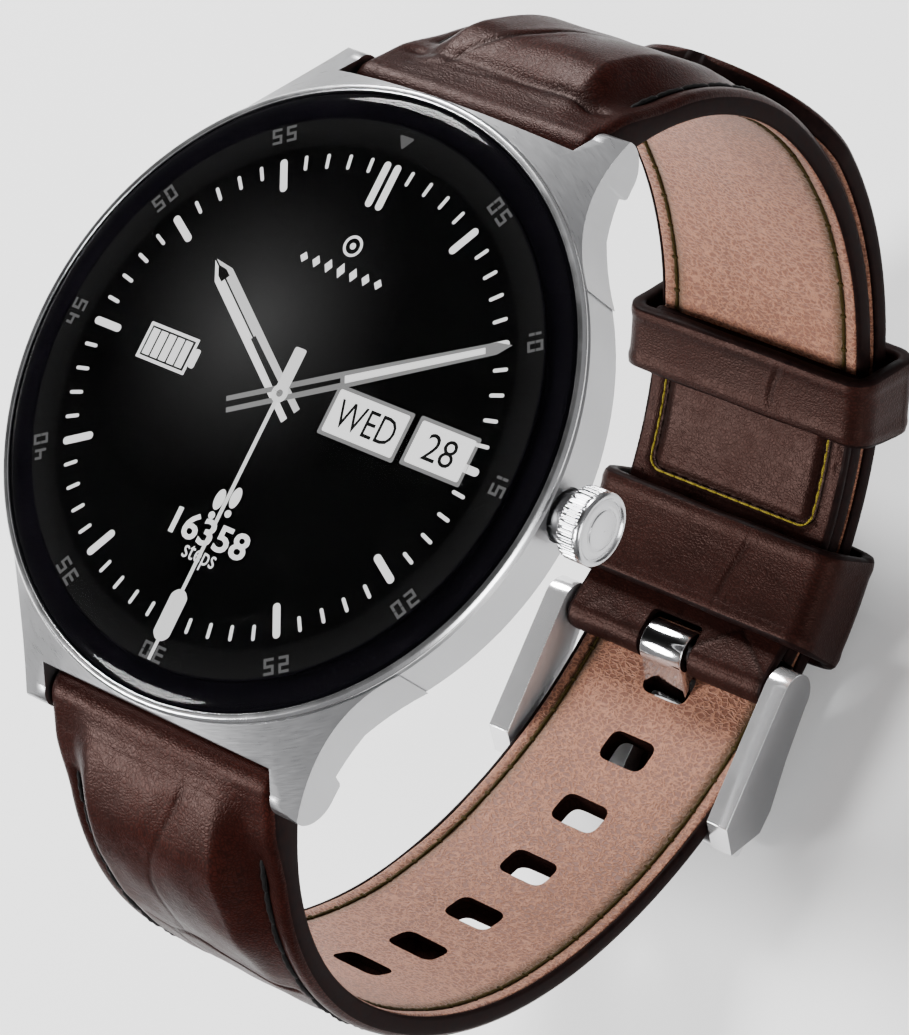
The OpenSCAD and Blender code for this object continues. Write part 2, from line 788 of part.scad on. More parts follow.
// The tongue: a curl about the buckle bar, then a bent strip that goes out through a hole.
module tongue_side() {
    difference() {
        union() {
            circle(1.95);
            polygon([[-1.9, 0.3], [-3.5, -1.6], [-3.75, -2.6], [-3.75, -3.7], [-4.2, -4.1],
                     [-buckle_len - 1.0, -4.4], [-buckle_len - 1.3, -5.2], [-3.6, -4.95], [-2.85, -4.3],
                     [-2.85, -2.7], [-2.6, -2.0], [-1.2, -1.5]]);
        }
        circle(bar_r + 0.08, $fn = 32);
    }
}

module buckle_tongue() color("silver") {
    about_x(pivot_y, pivot_z) linear_extrude(tongue_w, center = true) tongue_side();
}

case_frame();
bezel_ring();
cover_glass();
glass_gasket();
display_panel();
inner_frame();
main_board();
shield_cans();
battery();
vibration_motor();
speaker();
microphone();
antenna();
back_cover();
back_seal();
back_screws();
sensor_window();
sensor_board();
sensor_leds();
charging_pins();
charging_magnets();
crown_tube();
crown_switch();
switch_button();
crown_knob();
crown_stem();
crown_seals();
crown_clip();
upper_bar_tube();
upper_bar_tip_left();
upper_bar_tip_right();
lower_bar_tube();
lower_bar_tip_left();
lower_bar_tip_right();
buckle_bar_tube();
buckle_bar_tip_left();
buckle_bar_tip_right();
bar_springs();
upper_strap_leather();
upper_strap_lining();
upper_strap_padding();
upper_strap_thread();
buckle_loop();
loop_thread();
fixed_keeper();
free_keeper();
lower_strap_leather();
lower_strap_lining();
lower_strap_padding();
lower_strap_thread();
buckle_frame();
buckle_tongue();
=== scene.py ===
"""A round smartwatch on a padded leather strap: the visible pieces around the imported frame."""

import json
import math
from contextlib import contextmanager

import bpy
import bmesh
import numpy as np
from mathutils import Euler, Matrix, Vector


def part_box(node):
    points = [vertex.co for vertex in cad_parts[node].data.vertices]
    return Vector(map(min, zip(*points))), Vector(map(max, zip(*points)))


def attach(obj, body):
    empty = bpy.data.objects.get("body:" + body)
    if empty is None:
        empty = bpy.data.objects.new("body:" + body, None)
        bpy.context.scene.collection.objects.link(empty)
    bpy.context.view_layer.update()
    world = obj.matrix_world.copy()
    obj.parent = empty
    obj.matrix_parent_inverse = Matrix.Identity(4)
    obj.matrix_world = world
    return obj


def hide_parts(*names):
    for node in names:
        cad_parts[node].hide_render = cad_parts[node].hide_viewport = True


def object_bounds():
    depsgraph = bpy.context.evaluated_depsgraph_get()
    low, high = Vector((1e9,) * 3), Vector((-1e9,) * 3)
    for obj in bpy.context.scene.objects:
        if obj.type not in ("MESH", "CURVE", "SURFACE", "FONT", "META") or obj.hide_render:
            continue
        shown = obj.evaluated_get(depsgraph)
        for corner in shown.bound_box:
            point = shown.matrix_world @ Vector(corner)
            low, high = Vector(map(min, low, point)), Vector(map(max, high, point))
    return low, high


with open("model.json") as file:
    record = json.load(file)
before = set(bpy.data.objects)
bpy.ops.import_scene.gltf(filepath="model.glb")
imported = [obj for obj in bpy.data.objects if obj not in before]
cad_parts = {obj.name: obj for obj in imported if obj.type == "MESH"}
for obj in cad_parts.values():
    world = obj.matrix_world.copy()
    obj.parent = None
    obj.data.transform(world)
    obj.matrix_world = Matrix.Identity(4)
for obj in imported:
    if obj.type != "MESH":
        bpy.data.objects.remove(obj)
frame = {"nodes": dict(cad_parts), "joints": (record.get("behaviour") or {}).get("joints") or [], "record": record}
cad_low, cad_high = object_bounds()

# ---------- sizes, in millimetres, from the frame ----------

MM = 0.001


def joint_place(name):
    """Where a joint's axis passes, in millimetres."""
    joint = next(j for j in frame["joints"] if j["name"] == name)
    return Vector(joint.get("pos_m", (0, 0, 0))) / MM


def node_box(name):
    low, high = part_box(name)
    return low / MM, high / MM


def middle(name):
    low, high = node_box(name)
    return (low + high) / 2


# Strap loop: every arc runs about an axis along X, so a place is (y, z). T is a thickness, R a radius, A an
# angle in radians and W a width
LOOP_Y, LOOP_Z = joint_place("keeper_slide")[1:]
PIVOT_Y, PIVOT_Z = joint_place("buckle_swing")[1:]
BAR_Y, BAR_Z = middle("upper_bar_tube")[1:]
STRAP_T = 2.0
TAIL_T = 1.8
LINING_T = 0.5
FLAP_T = 0.8
BORDER_T = 1.95
OUTER_R = node_box("upper_strap_leather")[1].y - LOOP_Y
LOOP_R = OUTER_R - STRAP_T
TAIL_OUT = node_box("lower_strap_leather")[1].y - LOOP_Y
TAIL_IN = TAIL_OUT - TAIL_T
TAIL_RISE = 1.8
ROLL_R = 1.65
FOLD_R = 1.7
PAD_OUT_SHIFT = 3.5
PAD_OUT_LIFT = 1.5
PAD_IN_SHIFT = 7.8
BAR_A = math.atan2(BAR_Z - LOOP_Z, BAR_Y - LOOP_Y)
# The stretch where the 6 o'clock half eases from under the case to outside the other half
EASE_A = 2 * math.atan((TAIL_IN - LOOP_R) / (2 * LOOP_Y))
EASE_D = 2 * LOOP_Y / math.sin(EASE_A)
EASE_R = LOOP_R + EASE_D
EASE_Z = LOOP_Z + EASE_D * math.cos(EASE_A)
LUG_W = 2 * node_box("upper_strap_leather")[1].x
TIP_W = 20.0
MID_W = TIP_W + 0.5
TIP_Z = LOOP_Z - 22
HOLE_PITCH = 6.8
HOLE_COUNT = 7
FIRST_HOLE_A = math.radians(7)
# Stitches, and how far in from the leather's edge each seam runs
STITCH_PITCH = 3.2
OUTER_SEAM = 1.75
INNER_SEAM = 1.6

CASE_R = node_box("bezel_ring")[1].x
GLASS_R = CASE_R - 0.7
SHOULDER = 2.1
CASE_TOP = 11.2
WALL_TOP = node_box("bezel_ring")[0].z
PANEL_TOP = node_box("display_panel")[1].z
CROWN_Z = joint_place("crown_turn").z
KNOB_LOW, KNOB_HIGH = node_box("crown_knob")
KNOB_X = KNOB_HIGH.x - 2.2
TONGUE_W = node_box("buckle_tongue")[1].x * 2
ARM_OUT = node_box("buckle_frame")[1].x
ARM_T = 2.0
ARM_IN = ARM_OUT - ARM_T
BUCKLE_LEN = 13.2
DIAL = 17.55


# ---------- camera, light and floor ----------


def link(name, data):
    """A new object in the scene."""
    made = bpy.data.objects.new(name, data)
    bpy.context.scene.collection.objects.link(made)
    return made


def make_camera():
    """Looks down at the dial from the crown's side, with a long lens."""
    data = bpy.data.cameras.new("camera")
    data.lens, data.sensor_width = 148.0, 36
    camera = link("camera", data)
    camera.location = Vector((181.73, -29.53, 244.77)) * MM
    camera.rotation_euler = Euler([math.radians(a) for a in (21.36, 28.78, 30.01)])
    bpy.context.scene.camera = camera


def make_light(name, direction, distance, size, power):
    """A round soft light that faces the watch from a direction."""
    data = bpy.data.lights.new(name, "AREA")
    data.shape, data.size, data.energy = "DISK", size, power
    light = link(name, data)
    away = Vector(direction).normalized()
    light.location = away * distance
    light.rotation_euler = away.to_track_quat("Z", "Y").to_euler()


def make_world():
    """A soft white studio with one dark patch, which the flat glass reflects."""
    world = bpy.data.worlds.new("studio")
    bpy.context.scene.world = world
    world.use_nodes = True
    tree = world.node_tree
    background = tree.nodes["Background"]
    coord = tree.nodes.new("ShaderNodeTexCoord")
    dot = tree.nodes.new("ShaderNodeVectorMath")
    dot.operation = "DOT_PRODUCT"
    dot.inputs[1].default_value = Vector((-0.57, 0.09, 0.82)).normalized()
    ramp = tree.nodes.new("ShaderNodeValToRGB")
    stops = ramp.color_ramp.elements
    stops[0].position, stops[0].color = 0.6, (0.26, 0.26, 0.265, 1)
    stops[1].position, stops[1].color = 0.99, (0.01, 0.01, 0.01, 1)
    for position, grey in ((0.80, 0.14), (0.92, 0.015)):
        stop = stops.new(position)
        stop.color = (grey, grey, grey, 1)
    tree.links.new(coord.outputs["Generated"], dot.inputs[0])
    tree.links.new(dot.outputs["Value"], ramp.inputs["Fac"])
    tree.links.new(ramp.outputs["Color"], background.inputs["Color"])
    background.inputs["Strength"].default_value = 1.0


def sheet(name, x, y_from, y_to, z, material):
    """A level rectangle of the stage, in metres."""
    mesh = bpy.data.meshes.new(name)
    mesh.from_pydata([(-x, y_from, z), (x, y_from, z), (x, y_to, z), (-x, y_to, z)], [], [(0, 1, 2, 3)])
    mesh.materials.append(material)
    return link(name, mesh)


def make_floor():
    size = 3.0
    paper = Shader("floor_paper", base=(0.95, 0.95, 0.95), roughness=0.9)
    floor = sheet("floor", size, -size, size, cad_low.z - 0.0003, paper.material)


def make_cards():
    """Dark cards beyond the picture's edges, seen by reflections only. They keep the leather's far sides dark."""
    for name, y_from, y_to in (("card_front", -0.9, -0.085), ("card_back", 0.095, 0.9)):
        card = sheet(name, 0.9, y_from, y_to, cad_low.z + 0.001, moulded_plastic(name, (0.02, 0.02, 0.02), 0.9))
        card.visible_camera = card.visible_diffuse = card.visible_shadow = False


# ---------- materials ----------


class Shader:
    """A Principled material and short ways to add nodes to it."""

    def __init__(self, name, base, roughness, metallic=0.0, **sockets):
        self.material = bpy.data.materials.new(name)
        self.material.use_nodes = True
        self.tree = self.material.node_tree
        self.bsdf = self.tree.nodes["Principled BSDF"]
        self.bsdf.inputs["Base Color"].default_value = (*base, 1)
        self.bsdf.inputs["Roughness"].default_value = roughness
        self.bsdf.inputs["Metallic"].default_value = metallic
        for socket, value in sockets.items():
            self.bsdf.inputs[socket.replace("_", " ")].default_value = value

    def feed(self, socket, value):
        """Links a value to a socket, or sets a constant on it."""
        if isinstance(value, bpy.types.NodeSocket):
            self.tree.links.new(value, socket)
        else:
            socket.default_value = value

    def node(self, kind, inputs=None, **settings):
        made = self.tree.nodes.new("ShaderNode" + kind)
        for key, value in settings.items():
            setattr(made, key, value)
        for key, value in (inputs or {}).items():
            self.feed(made.inputs[key], value)
        return made

    def place(self, scale=(1, 1, 1)):
        """A place in the piece's own space, in millimetres times scale."""
        coord = self.node("TexCoord")
        size = [s / MM for s in scale]
        return self.node("Mapping", {"Vector": coord.outputs["Object"], "Scale": size}).outputs["Vector"]

    def laid(self, scale=(1, 1, 1)):
        """A place on the strap, in millimetres across and along it, times scale."""
        lay = self.node("Attribute", attribute_name="lay")
        return self.node("Mapping", {"Vector": lay.outputs["Vector"], "Scale": scale}).outputs["Vector"]

    def noise(self, vector, scale, detail=3.0, rough=0.5, distortion=0.0):
        values = {"Vector": vector, "Scale": scale, "Detail": detail, "Roughness": rough,
                  "Distortion": distortion}
        return self.node("TexNoise", values).outputs["Fac"]

    def cells(self, vector, scale, feature="DISTANCE_TO_EDGE", randomness=1.0):
        values = {"Vector": vector, "Scale": scale, "Randomness": randomness}
        return self.node("TexVoronoi", values, feature=feature).outputs["Distance"]

    def remap(self, value, low, high, to_low=0.0, to_high=1.0):
        values = {"Value": value, "From Min": low, "From Max": high, "To Min": to_low, "To Max": to_high}
        return self.node("MapRange", values).outputs["Result"]

    def maths(self, operation, a, b):
        return self.node("Math", {0: a, 1: b}, operation=operation).outputs["Value"]

    def vector(self, operation, a, b=None):
        values = {0: a} if b is None else {0: a, 1: b}
        return self.node("VectorMath", values, operation=operation)

    def mix(self, factor, a, b):
        """Colour a where factor is 0, and b where it is 1."""
        made = self.node("Mix", {"Factor": factor}, data_type="RGBA")
        for socket, value in ((made.inputs[6], a), (made.inputs[7], b)):
            self.feed(socket, (*value, 1) if isinstance(value, tuple) else value)
        return made.outputs[2]

    def tint(self, value, low, high, dark, light):
        """Colour from dark to light, as value goes from low to high."""
        return self.mix(self.remap(value, low, high), dark, light)

    def shift(self, position, scale=0.7, reach=0.9):
        """position moved by a noise, so that cells and lines don't look regular."""
        wander = self.node("TexNoise", {"Vector": position, "Scale": scale, "Detail": 2.0}).outputs["Color"]
        scaled = self.vector("MULTIPLY", wander, (reach, reach, reach)).outputs[0]
        return self.vector("ADD", position, scaled).outputs[0]

    def drive(self, name, socket):
        """Links a socket to one of the shader's own."""
        self.tree.links.new(socket, self.bsdf.inputs[name])

    def colour(self, socket):
        self.drive("Base Color", socket)

    def uneven(self, value, low, high, least, most):
        """Roughness from least to most, as value goes from low to high."""
        self.drive("Roughness", self.remap(value, low, high, least, most))

    def bump(self, height, depth, strength=1.0):
        """Raises the surface by up to depth millimetres where height is 1."""
        values = {"Height": height, "Distance": depth * MM, "Strength": strength}
        if self.bsdf.inputs["Normal"].links:
            values["Normal"] = self.bsdf.inputs["Normal"].links[0].from_socket
        self.drive("Normal", self.node("Bump", values).outputs["Normal"])

    def rounded(self, radius):
        """Softens sharp edges over radius millimetres."""
        self.drive("Normal", self.node("Bevel", {"Radius": radius * MM}, samples=4).outputs["Normal"])


def scaled(colour, factor):
    return tuple(c * factor for c in colour)


def satin_steel(name, base=(0.48, 0.48, 0.49), roughness=0.3, soft=0.12):
    shader = Shader(name, base, roughness, metallic=1.0)
    if soft:
        shader.rounded(soft)
    brushed = shader.noise(shader.place((0.4, 0.4, 9)), 2.0, 4.0)
    cloudy = shader.noise(shader.place(), 0.15, 2.0)
    varied = shader.maths("ADD", shader.maths("MULTIPLY", brushed, 0.7), shader.maths("MULTIPLY", cloudy, 0.3))
    shader.uneven(varied, 0.3, 0.7, roughness - 0.04, roughness + 0.05)
    shader.bump(brushed, 0.00004)
    return shader.material


def polished_steel(name, base=(0.72, 0.72, 0.73), gloss=0.05, scratch=0.0003, metallic=1.0):
    shader = Shader(name, base, gloss, metallic=metallic)
    shader.rounded(0.08)
    smudges = shader.noise(shader.place(), 0.35, 4.0, 0.6)
    scratches = shader.noise(shader.place((0.3, 6, 6)), 3.0, 2.0)
    shader.uneven(smudges, 0.35, 0.75, gloss, gloss + 0.08)
    shader.bump(scratches, scratch)
    return shader.material


def smooth_leather(name, dark, light, roughness):
    """Embossed and waxed: fine grain, a few wrinkles, and painted shade that darkens the creases, seams and folds.
    """
    shader = Shader(name, light, roughness, Specular_IOR_Level=0.11, Specular_Tint=(0.95, 0.52, 0.43, 1))
    position = shader.shift(shader.laid())
    crease_and_shade = shader.node("Attribute", attribute_name="crease_and_shade").outputs["Fac"]
    tone = shader.noise(shader.laid(), 0.16, 4.0, 0.55)
    grain = shader.cells(position, 3.3)
    pores = shader.noise(position, 8.0, 3.0, 0.7)
    wrinkles = shader.noise(shader.laid((0.5, 1.3, 1)), 1.5, 5.0, 0.55, 0.4)
    tinted = shader.tint(tone, 0.3, 0.72, dark, light)
    speck = shader.tint(grain, 0.02, 0.16, scaled(dark, 0.9), tinted)
    # Painted shade: the crease attribute darkens the colour toward a darker brown in creases, seams and folds.
    shader.colour(shader.mix(crease_and_shade, speck, scaled(dark, 0.3)))
    waxed = shader.maths("MULTIPLY", shader.maths("ADD", pores, tone), 0.5)
    shader.uneven(waxed, 0.3, 0.7, roughness - 0.08, roughness + 0.14)
    shader.bump(wrinkles, 0.04, 0.5)
    shader.bump(shader.remap(grain, 0.0, 0.3), 0.016, 0.8)
    shader.bump(pores, 0.008, 0.6)
    return shader.material


def pebbled_leather(name, cell, line):
    """Soft lining: small pitted cells inside a lighter net of raised lines, with painted shade along the seams."""
    shader = Shader(name, cell, 0.62, Specular_IOR_Level=0.35, Sheen_Weight=0.15, Sheen_Roughness=0.5)
    position = shader.shift(shader.shift(shader.laid((1.0, 1.5, 1))), 2.6, 0.55)
    net = shader.cells(position, 1.7)
    small = shader.cells(position, 3.6)
    tone = shader.noise(shader.laid(), 0.22, 3.0)
    pores = shader.noise(position, 7.0, 2.0, 0.7)
    painted_seam_shade = shader.node("Attribute", attribute_name="crease_and_shade").outputs["Fac"]
    pits = shader.remap(net, 0.0, 0.19)
    netted = shader.mix(pits, line, shader.tint(tone, 0.3, 0.75, scaled(cell, 0.86), scaled(cell, 1.16)))
    fine = shader.tint(small, 0.0, 0.12, line, netted)
    blend = shader.tint(pores, 0.4, 0.9, netted, fine)
    # Painted shade: an olive-brown dark along the seams.
    shader.colour(shader.mix(painted_seam_shade, blend, (0.07, 0.035, 0.012)))
    shader.bump(shader.maths("SUBTRACT", 1.0, pits), 0.06, 0.9)
    shader.bump(pores, 0.02, 0.5)
    return shader.material


def fibrous(name, base, dark, light, scale, detail, rough, depth, strength, span=(0.3, 0.7), roughness=0.9,
            specular=0.0, least=None):
    """A matt surface whose colour and height follow one noise, and its roughness too where least is given."""
    shader = Shader(name, base, roughness, Specular_IOR_Level=specular)
    fibres = shader.noise(shader.place(), scale, detail, rough)
    shader.colour(shader.tint(fibres, *span, dark, light))
    if least is not None:
        shader.uneven(fibres, *span, least, roughness)
    shader.bump(fibres, depth, strength)
    return shader.material


def waxed_thread(name, dark, light):
    return fibrous(name, light, dark, light, 14.0, 2.0, 0.6, 0.02, 0.8, (0.35, 0.65), 0.55, 0.06)


def clear_glass(name, base=(1, 1, 1)):
    shader = Shader(name, base, 0.07, IOR=1.16, Transmission_Weight=1.0)
    film = shader.noise(shader.place(), 0.2, 3.0)
    shader.uneven(film, 0.4, 0.8, 0.06, 0.09)
    return shader.material


def glow(name, grey, strength=1.0):
    """Part of the picture on the display, in a grey."""
    shader = Shader(name, (0, 0, 0), 0.5, Emission_Strength=strength, Specular_IOR_Level=0.0)
    pixels = shader.cells(shader.place(), 14.0, "F1", 0.0)
    colour = (grey, grey, grey)
    shader.drive("Emission Color", shader.tint(pixels, 0.2, 0.5, colour, scaled(colour, 0.93)))
    return shader.material


def display_glow(name):
    """The display's own picture: a soft grey glow round the hands, and outside it a ring with a painted highlight,
    brighter outward, so that the flat ring looks raised.
    """
    shader = Shader(name, (0.002, 0.002, 0.002), 0.3, Emission_Strength=1.0, Specular_IOR_Level=0.0)
    position = shader.place((1 / DIAL, 1 / DIAL, 0))
    radius = shader.vector("LENGTH", position).outputs["Value"]
    off_centre = shader.vector("ADD", position, (0.28, -0.22, 0)).outputs[0]
    spot = shader.vector("LENGTH", off_centre).outputs["Value"]
    centre = shader.remap(spot, 0.75, 0.0, 0.0, 0.055)
    soft = shader.maths("MULTIPLY", centre, shader.remap(spot, 0.8, 0.1))
    ring = shader.remap(radius, 1.06, 1.08)
    # Painted highlight: the ring brightens outward as if a raised slope caught the light.
    painted_ring_highlight = shader.remap(radius, 1.05, 1.17, 0.002, 0.010)
    total = shader.maths("ADD", soft, shader.maths("MULTIPLY", ring, painted_ring_highlight))
    grey = shader.node("CombineColor", {"Red": total, "Green": total, "Blue": total}).outputs["Color"]
    shader.drive("Emission Color", grey)
    return shader.material


def moulded_plastic(name, base, roughness=0.5):
    shader = Shader(name, base, roughness)
    shader.rounded(0.1)
    texture = shader.noise(shader.place(), 6.0, 3.0, 0.6)
    tone = shader.noise(shader.place(), 0.3, 3.0)
    shader.colour(shader.tint(tone, 0.3, 0.7, scaled(base, 0.8), scaled(base, 1.2)))
    shader.uneven(texture, 0.3, 0.7, roughness - 0.08, roughness + 0.08)
    shader.bump(texture, 0.006)
    return shader.material


def black_print(name):
    shader = Shader(name, (0.002, 0.002, 0.0025), 0.95, Specular_IOR_Level=0.0)
    tone = shader.noise(shader.place(), 0.3, 3.0)
    shader.colour(shader.mix(tone, (0.0015, 0.0015, 0.002), (0.004, 0.0035, 0.005)))
    return shader.material


def circuit_board(name):
    shader = Shader(name, (0.01, 0.12, 0.05), 0.4)
    traces = shader.cells(shader.place(), 0.9, "DISTANCE_TO_EDGE", 0.4)
    shader.colour(shader.tint(traces, 0.03, 0.08, (0.03, 0.25, 0.10), (0.008, 0.09, 0.04)))
    shader.bump(traces, 0.02)
    return shader.material


def foil(name, base, roughness=0.35):
    shader = Shader(name, base, roughness, metallic=1.0)
    shader.rounded(0.06)
    crinkles = shader.noise(shader.place(), 1.2, 4.0, 0.6)
    shader.uneven(crinkles, 0.3, 0.7, roughness - 0.08, roughness + 0.1)
    shader.bump(crinkles, 0.01)
    return shader.material


LEATHER = smooth_leather("strap_leather", (0.008, 0.0014, 0.0010), (0.025, 0.0042, 0.0026), 0.40)
KEEPER_LEATHER = smooth_leather("keeper_leather", (0.0065, 0.0020, 0.0016), (0.016, 0.0042, 0.0032), 0.42)
LINING = pebbled_leather("lining_leather", (0.128, 0.041, 0.021), (0.31, 0.130, 0.070))
EDGE = fibrous("edge_paint", (0.006, 0.0028, 0.0026), (0.004, 0.002, 0.002), (0.010, 0.0045, 0.004),
               1.4, 4.0, 0.6, 0.03, 0.5, roughness=0.6, specular=0.02, least=0.42)
HOLE_WALL = fibrous("hole_wall", (0.004, 0.002, 0.002), (0.002, 0.001, 0.001), (0.012, 0.005, 0.004),
                    5.0, 3.0, 0.7, 0.05, 0.6)
THREAD_BLACK = waxed_thread("black_thread", (0.002, 0.002, 0.002), (0.012, 0.011, 0.011))
THREAD_OLIVE = waxed_thread("olive_thread", (0.008, 0.005, 0.001), (0.045, 0.030, 0.006))
THREAD_YELLOW = waxed_thread("yellow_thread", (0.07, 0.05, 0.003), (0.27, 0.21, 0.02))
SATIN = satin_steel("satin_steel")
CASE_STEEL = satin_steel("case_steel", (0.52, 0.52, 0.53), 0.3, soft=0)
# Painted shade: a darker copy of the case's steel, for the case's upright walls.
SHADED_WALL_STEEL = satin_steel("case_wall_painted_shade", (0.41, 0.41, 0.417), 0.32, soft=0)
BUCKLE_STEEL = polished_steel("buckle_steel", (0.80, 0.80, 0.81), 0.14, metallic=0.8)
POLISHED = polished_steel("polished_steel")
BEZEL_STEEL = polished_steel("bezel_steel", (0.74, 0.74, 0.75), 0.2, 0.00003)
CROWN_STEEL = polished_steel("crown_steel", (0.50, 0.50, 0.51), 0.2, 0.0001)
GLASS = clear_glass("clear_glass")
BLACK_PRINT = black_print("black_print")
DISPLAY = display_glow("display_picture")
WHITE_LIGHT = glow("picture_white", 0.80, 1.8)
GREY_LIGHT = glow("picture_grey", 0.13)
MID_LIGHT = glow("picture_mid_grey", 0.30)
SOFT_LIGHT = glow("picture_soft_white", 0.80, 1.2)
DARK_LIGHT = glow("picture_dark", 0.012)

SLOT_FINISH = {
    "steel_satin": SATIN,
    "steel_polished": POLISHED,
    "steel_inner": satin_steel("inner_steel", (0.55, 0.55, 0.56), 0.35),
    "glass": clear_glass("smoked_glass", (0.02, 0.02, 0.025)),
    "display": DISPLAY,
    "plastic": moulded_plastic("black_plastic", (0.03, 0.03, 0.033)),
    "rubber": moulded_plastic("rubber", (0.015, 0.015, 0.015), 0.7),
    "board": circuit_board("board_green"),
    "leds": moulded_plastic("diode_lens", (0.25, 0.6, 0.25), 0.25),
    "gold": foil("gold_plate", (0.83, 0.6, 0.25), 0.25),
    "magnet": foil("nickel_plate", (0.6, 0.6, 0.62)),
    "cell": foil("cell_foil", (0.75, 0.76, 0.78), 0.4),
    "leather": LEATHER,
    "lining": LINING,
    "foam": moulded_plastic("foam", (0.6, 0.5, 0.35), 0.9),
    "thread_dark": THREAD_BLACK,
    "thread_yellow": THREAD_YELLOW,
}


def finish_nodes():
    """Gives every CAD node the finish of its material slot."""
    for row in frame["record"]["subparts"]:
        node = frame["nodes"][row["node"]]
        node.data.materials.clear()
        node.data.materials.append(SLOT_FINISH[row["material_slot"]])


# ---------- mesh making ----------


@contextmanager
def editing(mesh):
    """Opens a mesh for bmesh operators, and writes the result back."""
    work = bmesh.new()
    work.from_mesh(mesh)
    yield work
    work.to_mesh(mesh)
    work.free()


def piece(name, points, faces, materials, which=None, body="watch", slot=None, replaces=(), smooth=True):
    """A mesh object from points in millimetres, riding on its body."""
    mesh = bpy.data.meshes.new(name)
    mesh.from_pydata((np.asarray(points, float) * MM).tolist(), [], faces)
    for material in materials:
        mesh.materials.append(material)
    if which is not None:
        mesh.polygons.foreach_set("material_index", which)
    with editing(mesh) as work:
        bmesh.ops.recalc_face_normals(work, faces=work.faces)
    if smooth:
        mesh.shade_smooth()
    made = link(name, mesh)
    if body:
        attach(made, body)
    if replaces:
        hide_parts(*replaces)
    return made


def loft(rings, closed=False):
    """Faces over rings of points, shape (stations, ring, 3). Open lofts get a cap at each end."""
    count, size = rings.shape[:2]
    last = count if closed else count - 1
    faces = []
    for i in range(last):
        a, b = i * size, ((i + 1) % count) * size
        faces += [(a + k, a + (k + 1) % size, b + (k + 1) % size, b + k) for k in range(size)]
    if not closed:
        faces.append(tuple(range(size - 1, -1, -1)))
        faces.append(tuple((count - 1) * size + k for k in range(size)))
    return rings.reshape(-1, 3), faces


def join(parts):
    """One list of points and faces from several."""
    points, faces, shift = [], [], 0
    for part_points, part_faces in parts:
        points.append(np.asarray(part_points, float))
        faces += [tuple(i + shift for i in face) for face in part_faces]
        shift += len(part_points)
    return np.concatenate(points), faces


def apply_modifiers(target):
    """Replaces the mesh by what its modifiers make of it."""
    bpy.context.view_layer.update()
    graph = bpy.context.evaluated_depsgraph_get()
    made = bpy.data.meshes.new_from_object(target.evaluated_get(graph), depsgraph=graph)
    target.modifiers.clear()
    target.data = made


def cut(target, cutter, operation="DIFFERENCE"):
    """Boolean of target with cutter, which is then removed."""
    modifier = target.modifiers.new("cut", "BOOLEAN")
    modifier.operation = operation
    modifier.solver = "MANIFOLD"
    modifier.object = cutter
    apply_modifiers(target)
    bpy.data.objects.remove(cutter)


def carve(target, points, faces, operation="DIFFERENCE"):
    """Boolean of target with a closed shape of the same material."""
    cut(target, piece("cutter", points, faces, [target.data.materials[0]], body=None), operation)


def smooth_by_angle(target, degrees):
    """Smooth shading, with the edges sharper than this angle left sharp."""
    target.data.shade_smooth()
    limit = math.radians(degrees)
    with editing(target.data) as work:
        for edge in work.edges:
            edge.smooth = len(edge.link_faces) != 2 or edge.calc_face_angle(0) < limit


def bevelled(target, width, segments, angle):
    """Rounds the sharp edges of target over width millimetres."""
    modifier = target.modifiers.new("bevel", "BEVEL")
    modifier.width = width * MM
    modifier.segments = segments
    modifier.limit_method = "ANGLE"
    modifier.angle_limit = math.radians(angle)
    apply_modifiers(target)
    smooth_by_angle(target, 40)


def weigh_normals(target):
    """Lets the large faces decide how the surface shades, so that slivers don't show."""
    modifier = target.modifiers.new("normals", "WEIGHTED_NORMAL")
    modifier.keep_sharp = True
    apply_modifiers(target)


def merge_flat(target, gap, degrees):
    """Joins points closer than gap millimetres, and the triangles that make up a flat face."""
    with editing(target.data) as work:
        bmesh.ops.remove_doubles(work, verts=work.verts, dist=gap * MM)
        bmesh.ops.dissolve_limit(work, angle_limit=math.radians(degrees), verts=work.verts, edges=work.edges)


def rectangle(x_from, x_to, y_from, y_to):
    return [(x_from, y_from), (x_to, y_from), (x_to, y_to), (x_from, y_to)]


def fillet(points, radius, steps=4):
    """The closed outline with its corners rounded."""
    points = [np.asarray(p, float) for p in points]
    out = []
    for i, corner in enumerate(points):
        before = points[i - 1] - corner
        after = points[(i + 1) % len(points)] - corner
        reach = min(radius, 0.45 * np.linalg.norm(before), 0.45 * np.linalg.norm(after))
        start = corner + before / np.linalg.norm(before) * reach
        end = corner + after / np.linalg.norm(after) * reach
        for t in np.linspace(0, 1, steps + 1):
            out.append((1 - t) ** 2 * start + 2 * t * (1 - t) * corner + t * t * end)
    return np.array(out)


def lathe(profile, segments=256):
    """Points and faces of a closed profile of (radius, height) turned about Z."""
    turn = np.linspace(0, 2 * np.pi, segments, endpoint=False)[:, None]
    across, height = profile[None, :, 0], profile[None, :, 1]
    rings = np.stack([np.cos(turn) * across, np.sin(turn) * across, np.tile(height, (segments, 1))], -1)
    return loft(rings, closed=True)


def prism(outline, z_low, z_high):
    """A flat plate between two heights over an outline of (x, y)."""
    outline = np.asarray(outline, float)
    count = len(outline)
    low, high = (np.c_[outline, np.full(count, z)] for z in (z_low, z_high))
    sides = [(k, (k + 1) % count, count + (k + 1) % count, count + k) for k in range(count)]
    faces = sides + [tuple(range(count - 1, -1, -1)), tuple(range(count, 2 * count))]
    return np.concatenate([low, high]), faces


def smoothstep(value, low, high):
    t = np.clip((value - low) / (high - low), 0, 1)
    return t * t * (3 - 2 * t)


def bell(value, width):
    """1 at zero, falling off over a width on both sides."""
    return np.exp(-((value / width) ** 2))


def unit(vectors):
    return vectors / np.linalg.norm(vectors, axis=-1, keepdims=True)


def length_along(line):
    """Distance from the line's start to each of its points."""
    return np.concatenate([[0], np.cumsum(np.linalg.norm(np.diff(line, axis=0), axis=1))])


def mix(a, b, t):
    return a + (b - a) * t


# ---------- embossing ----------


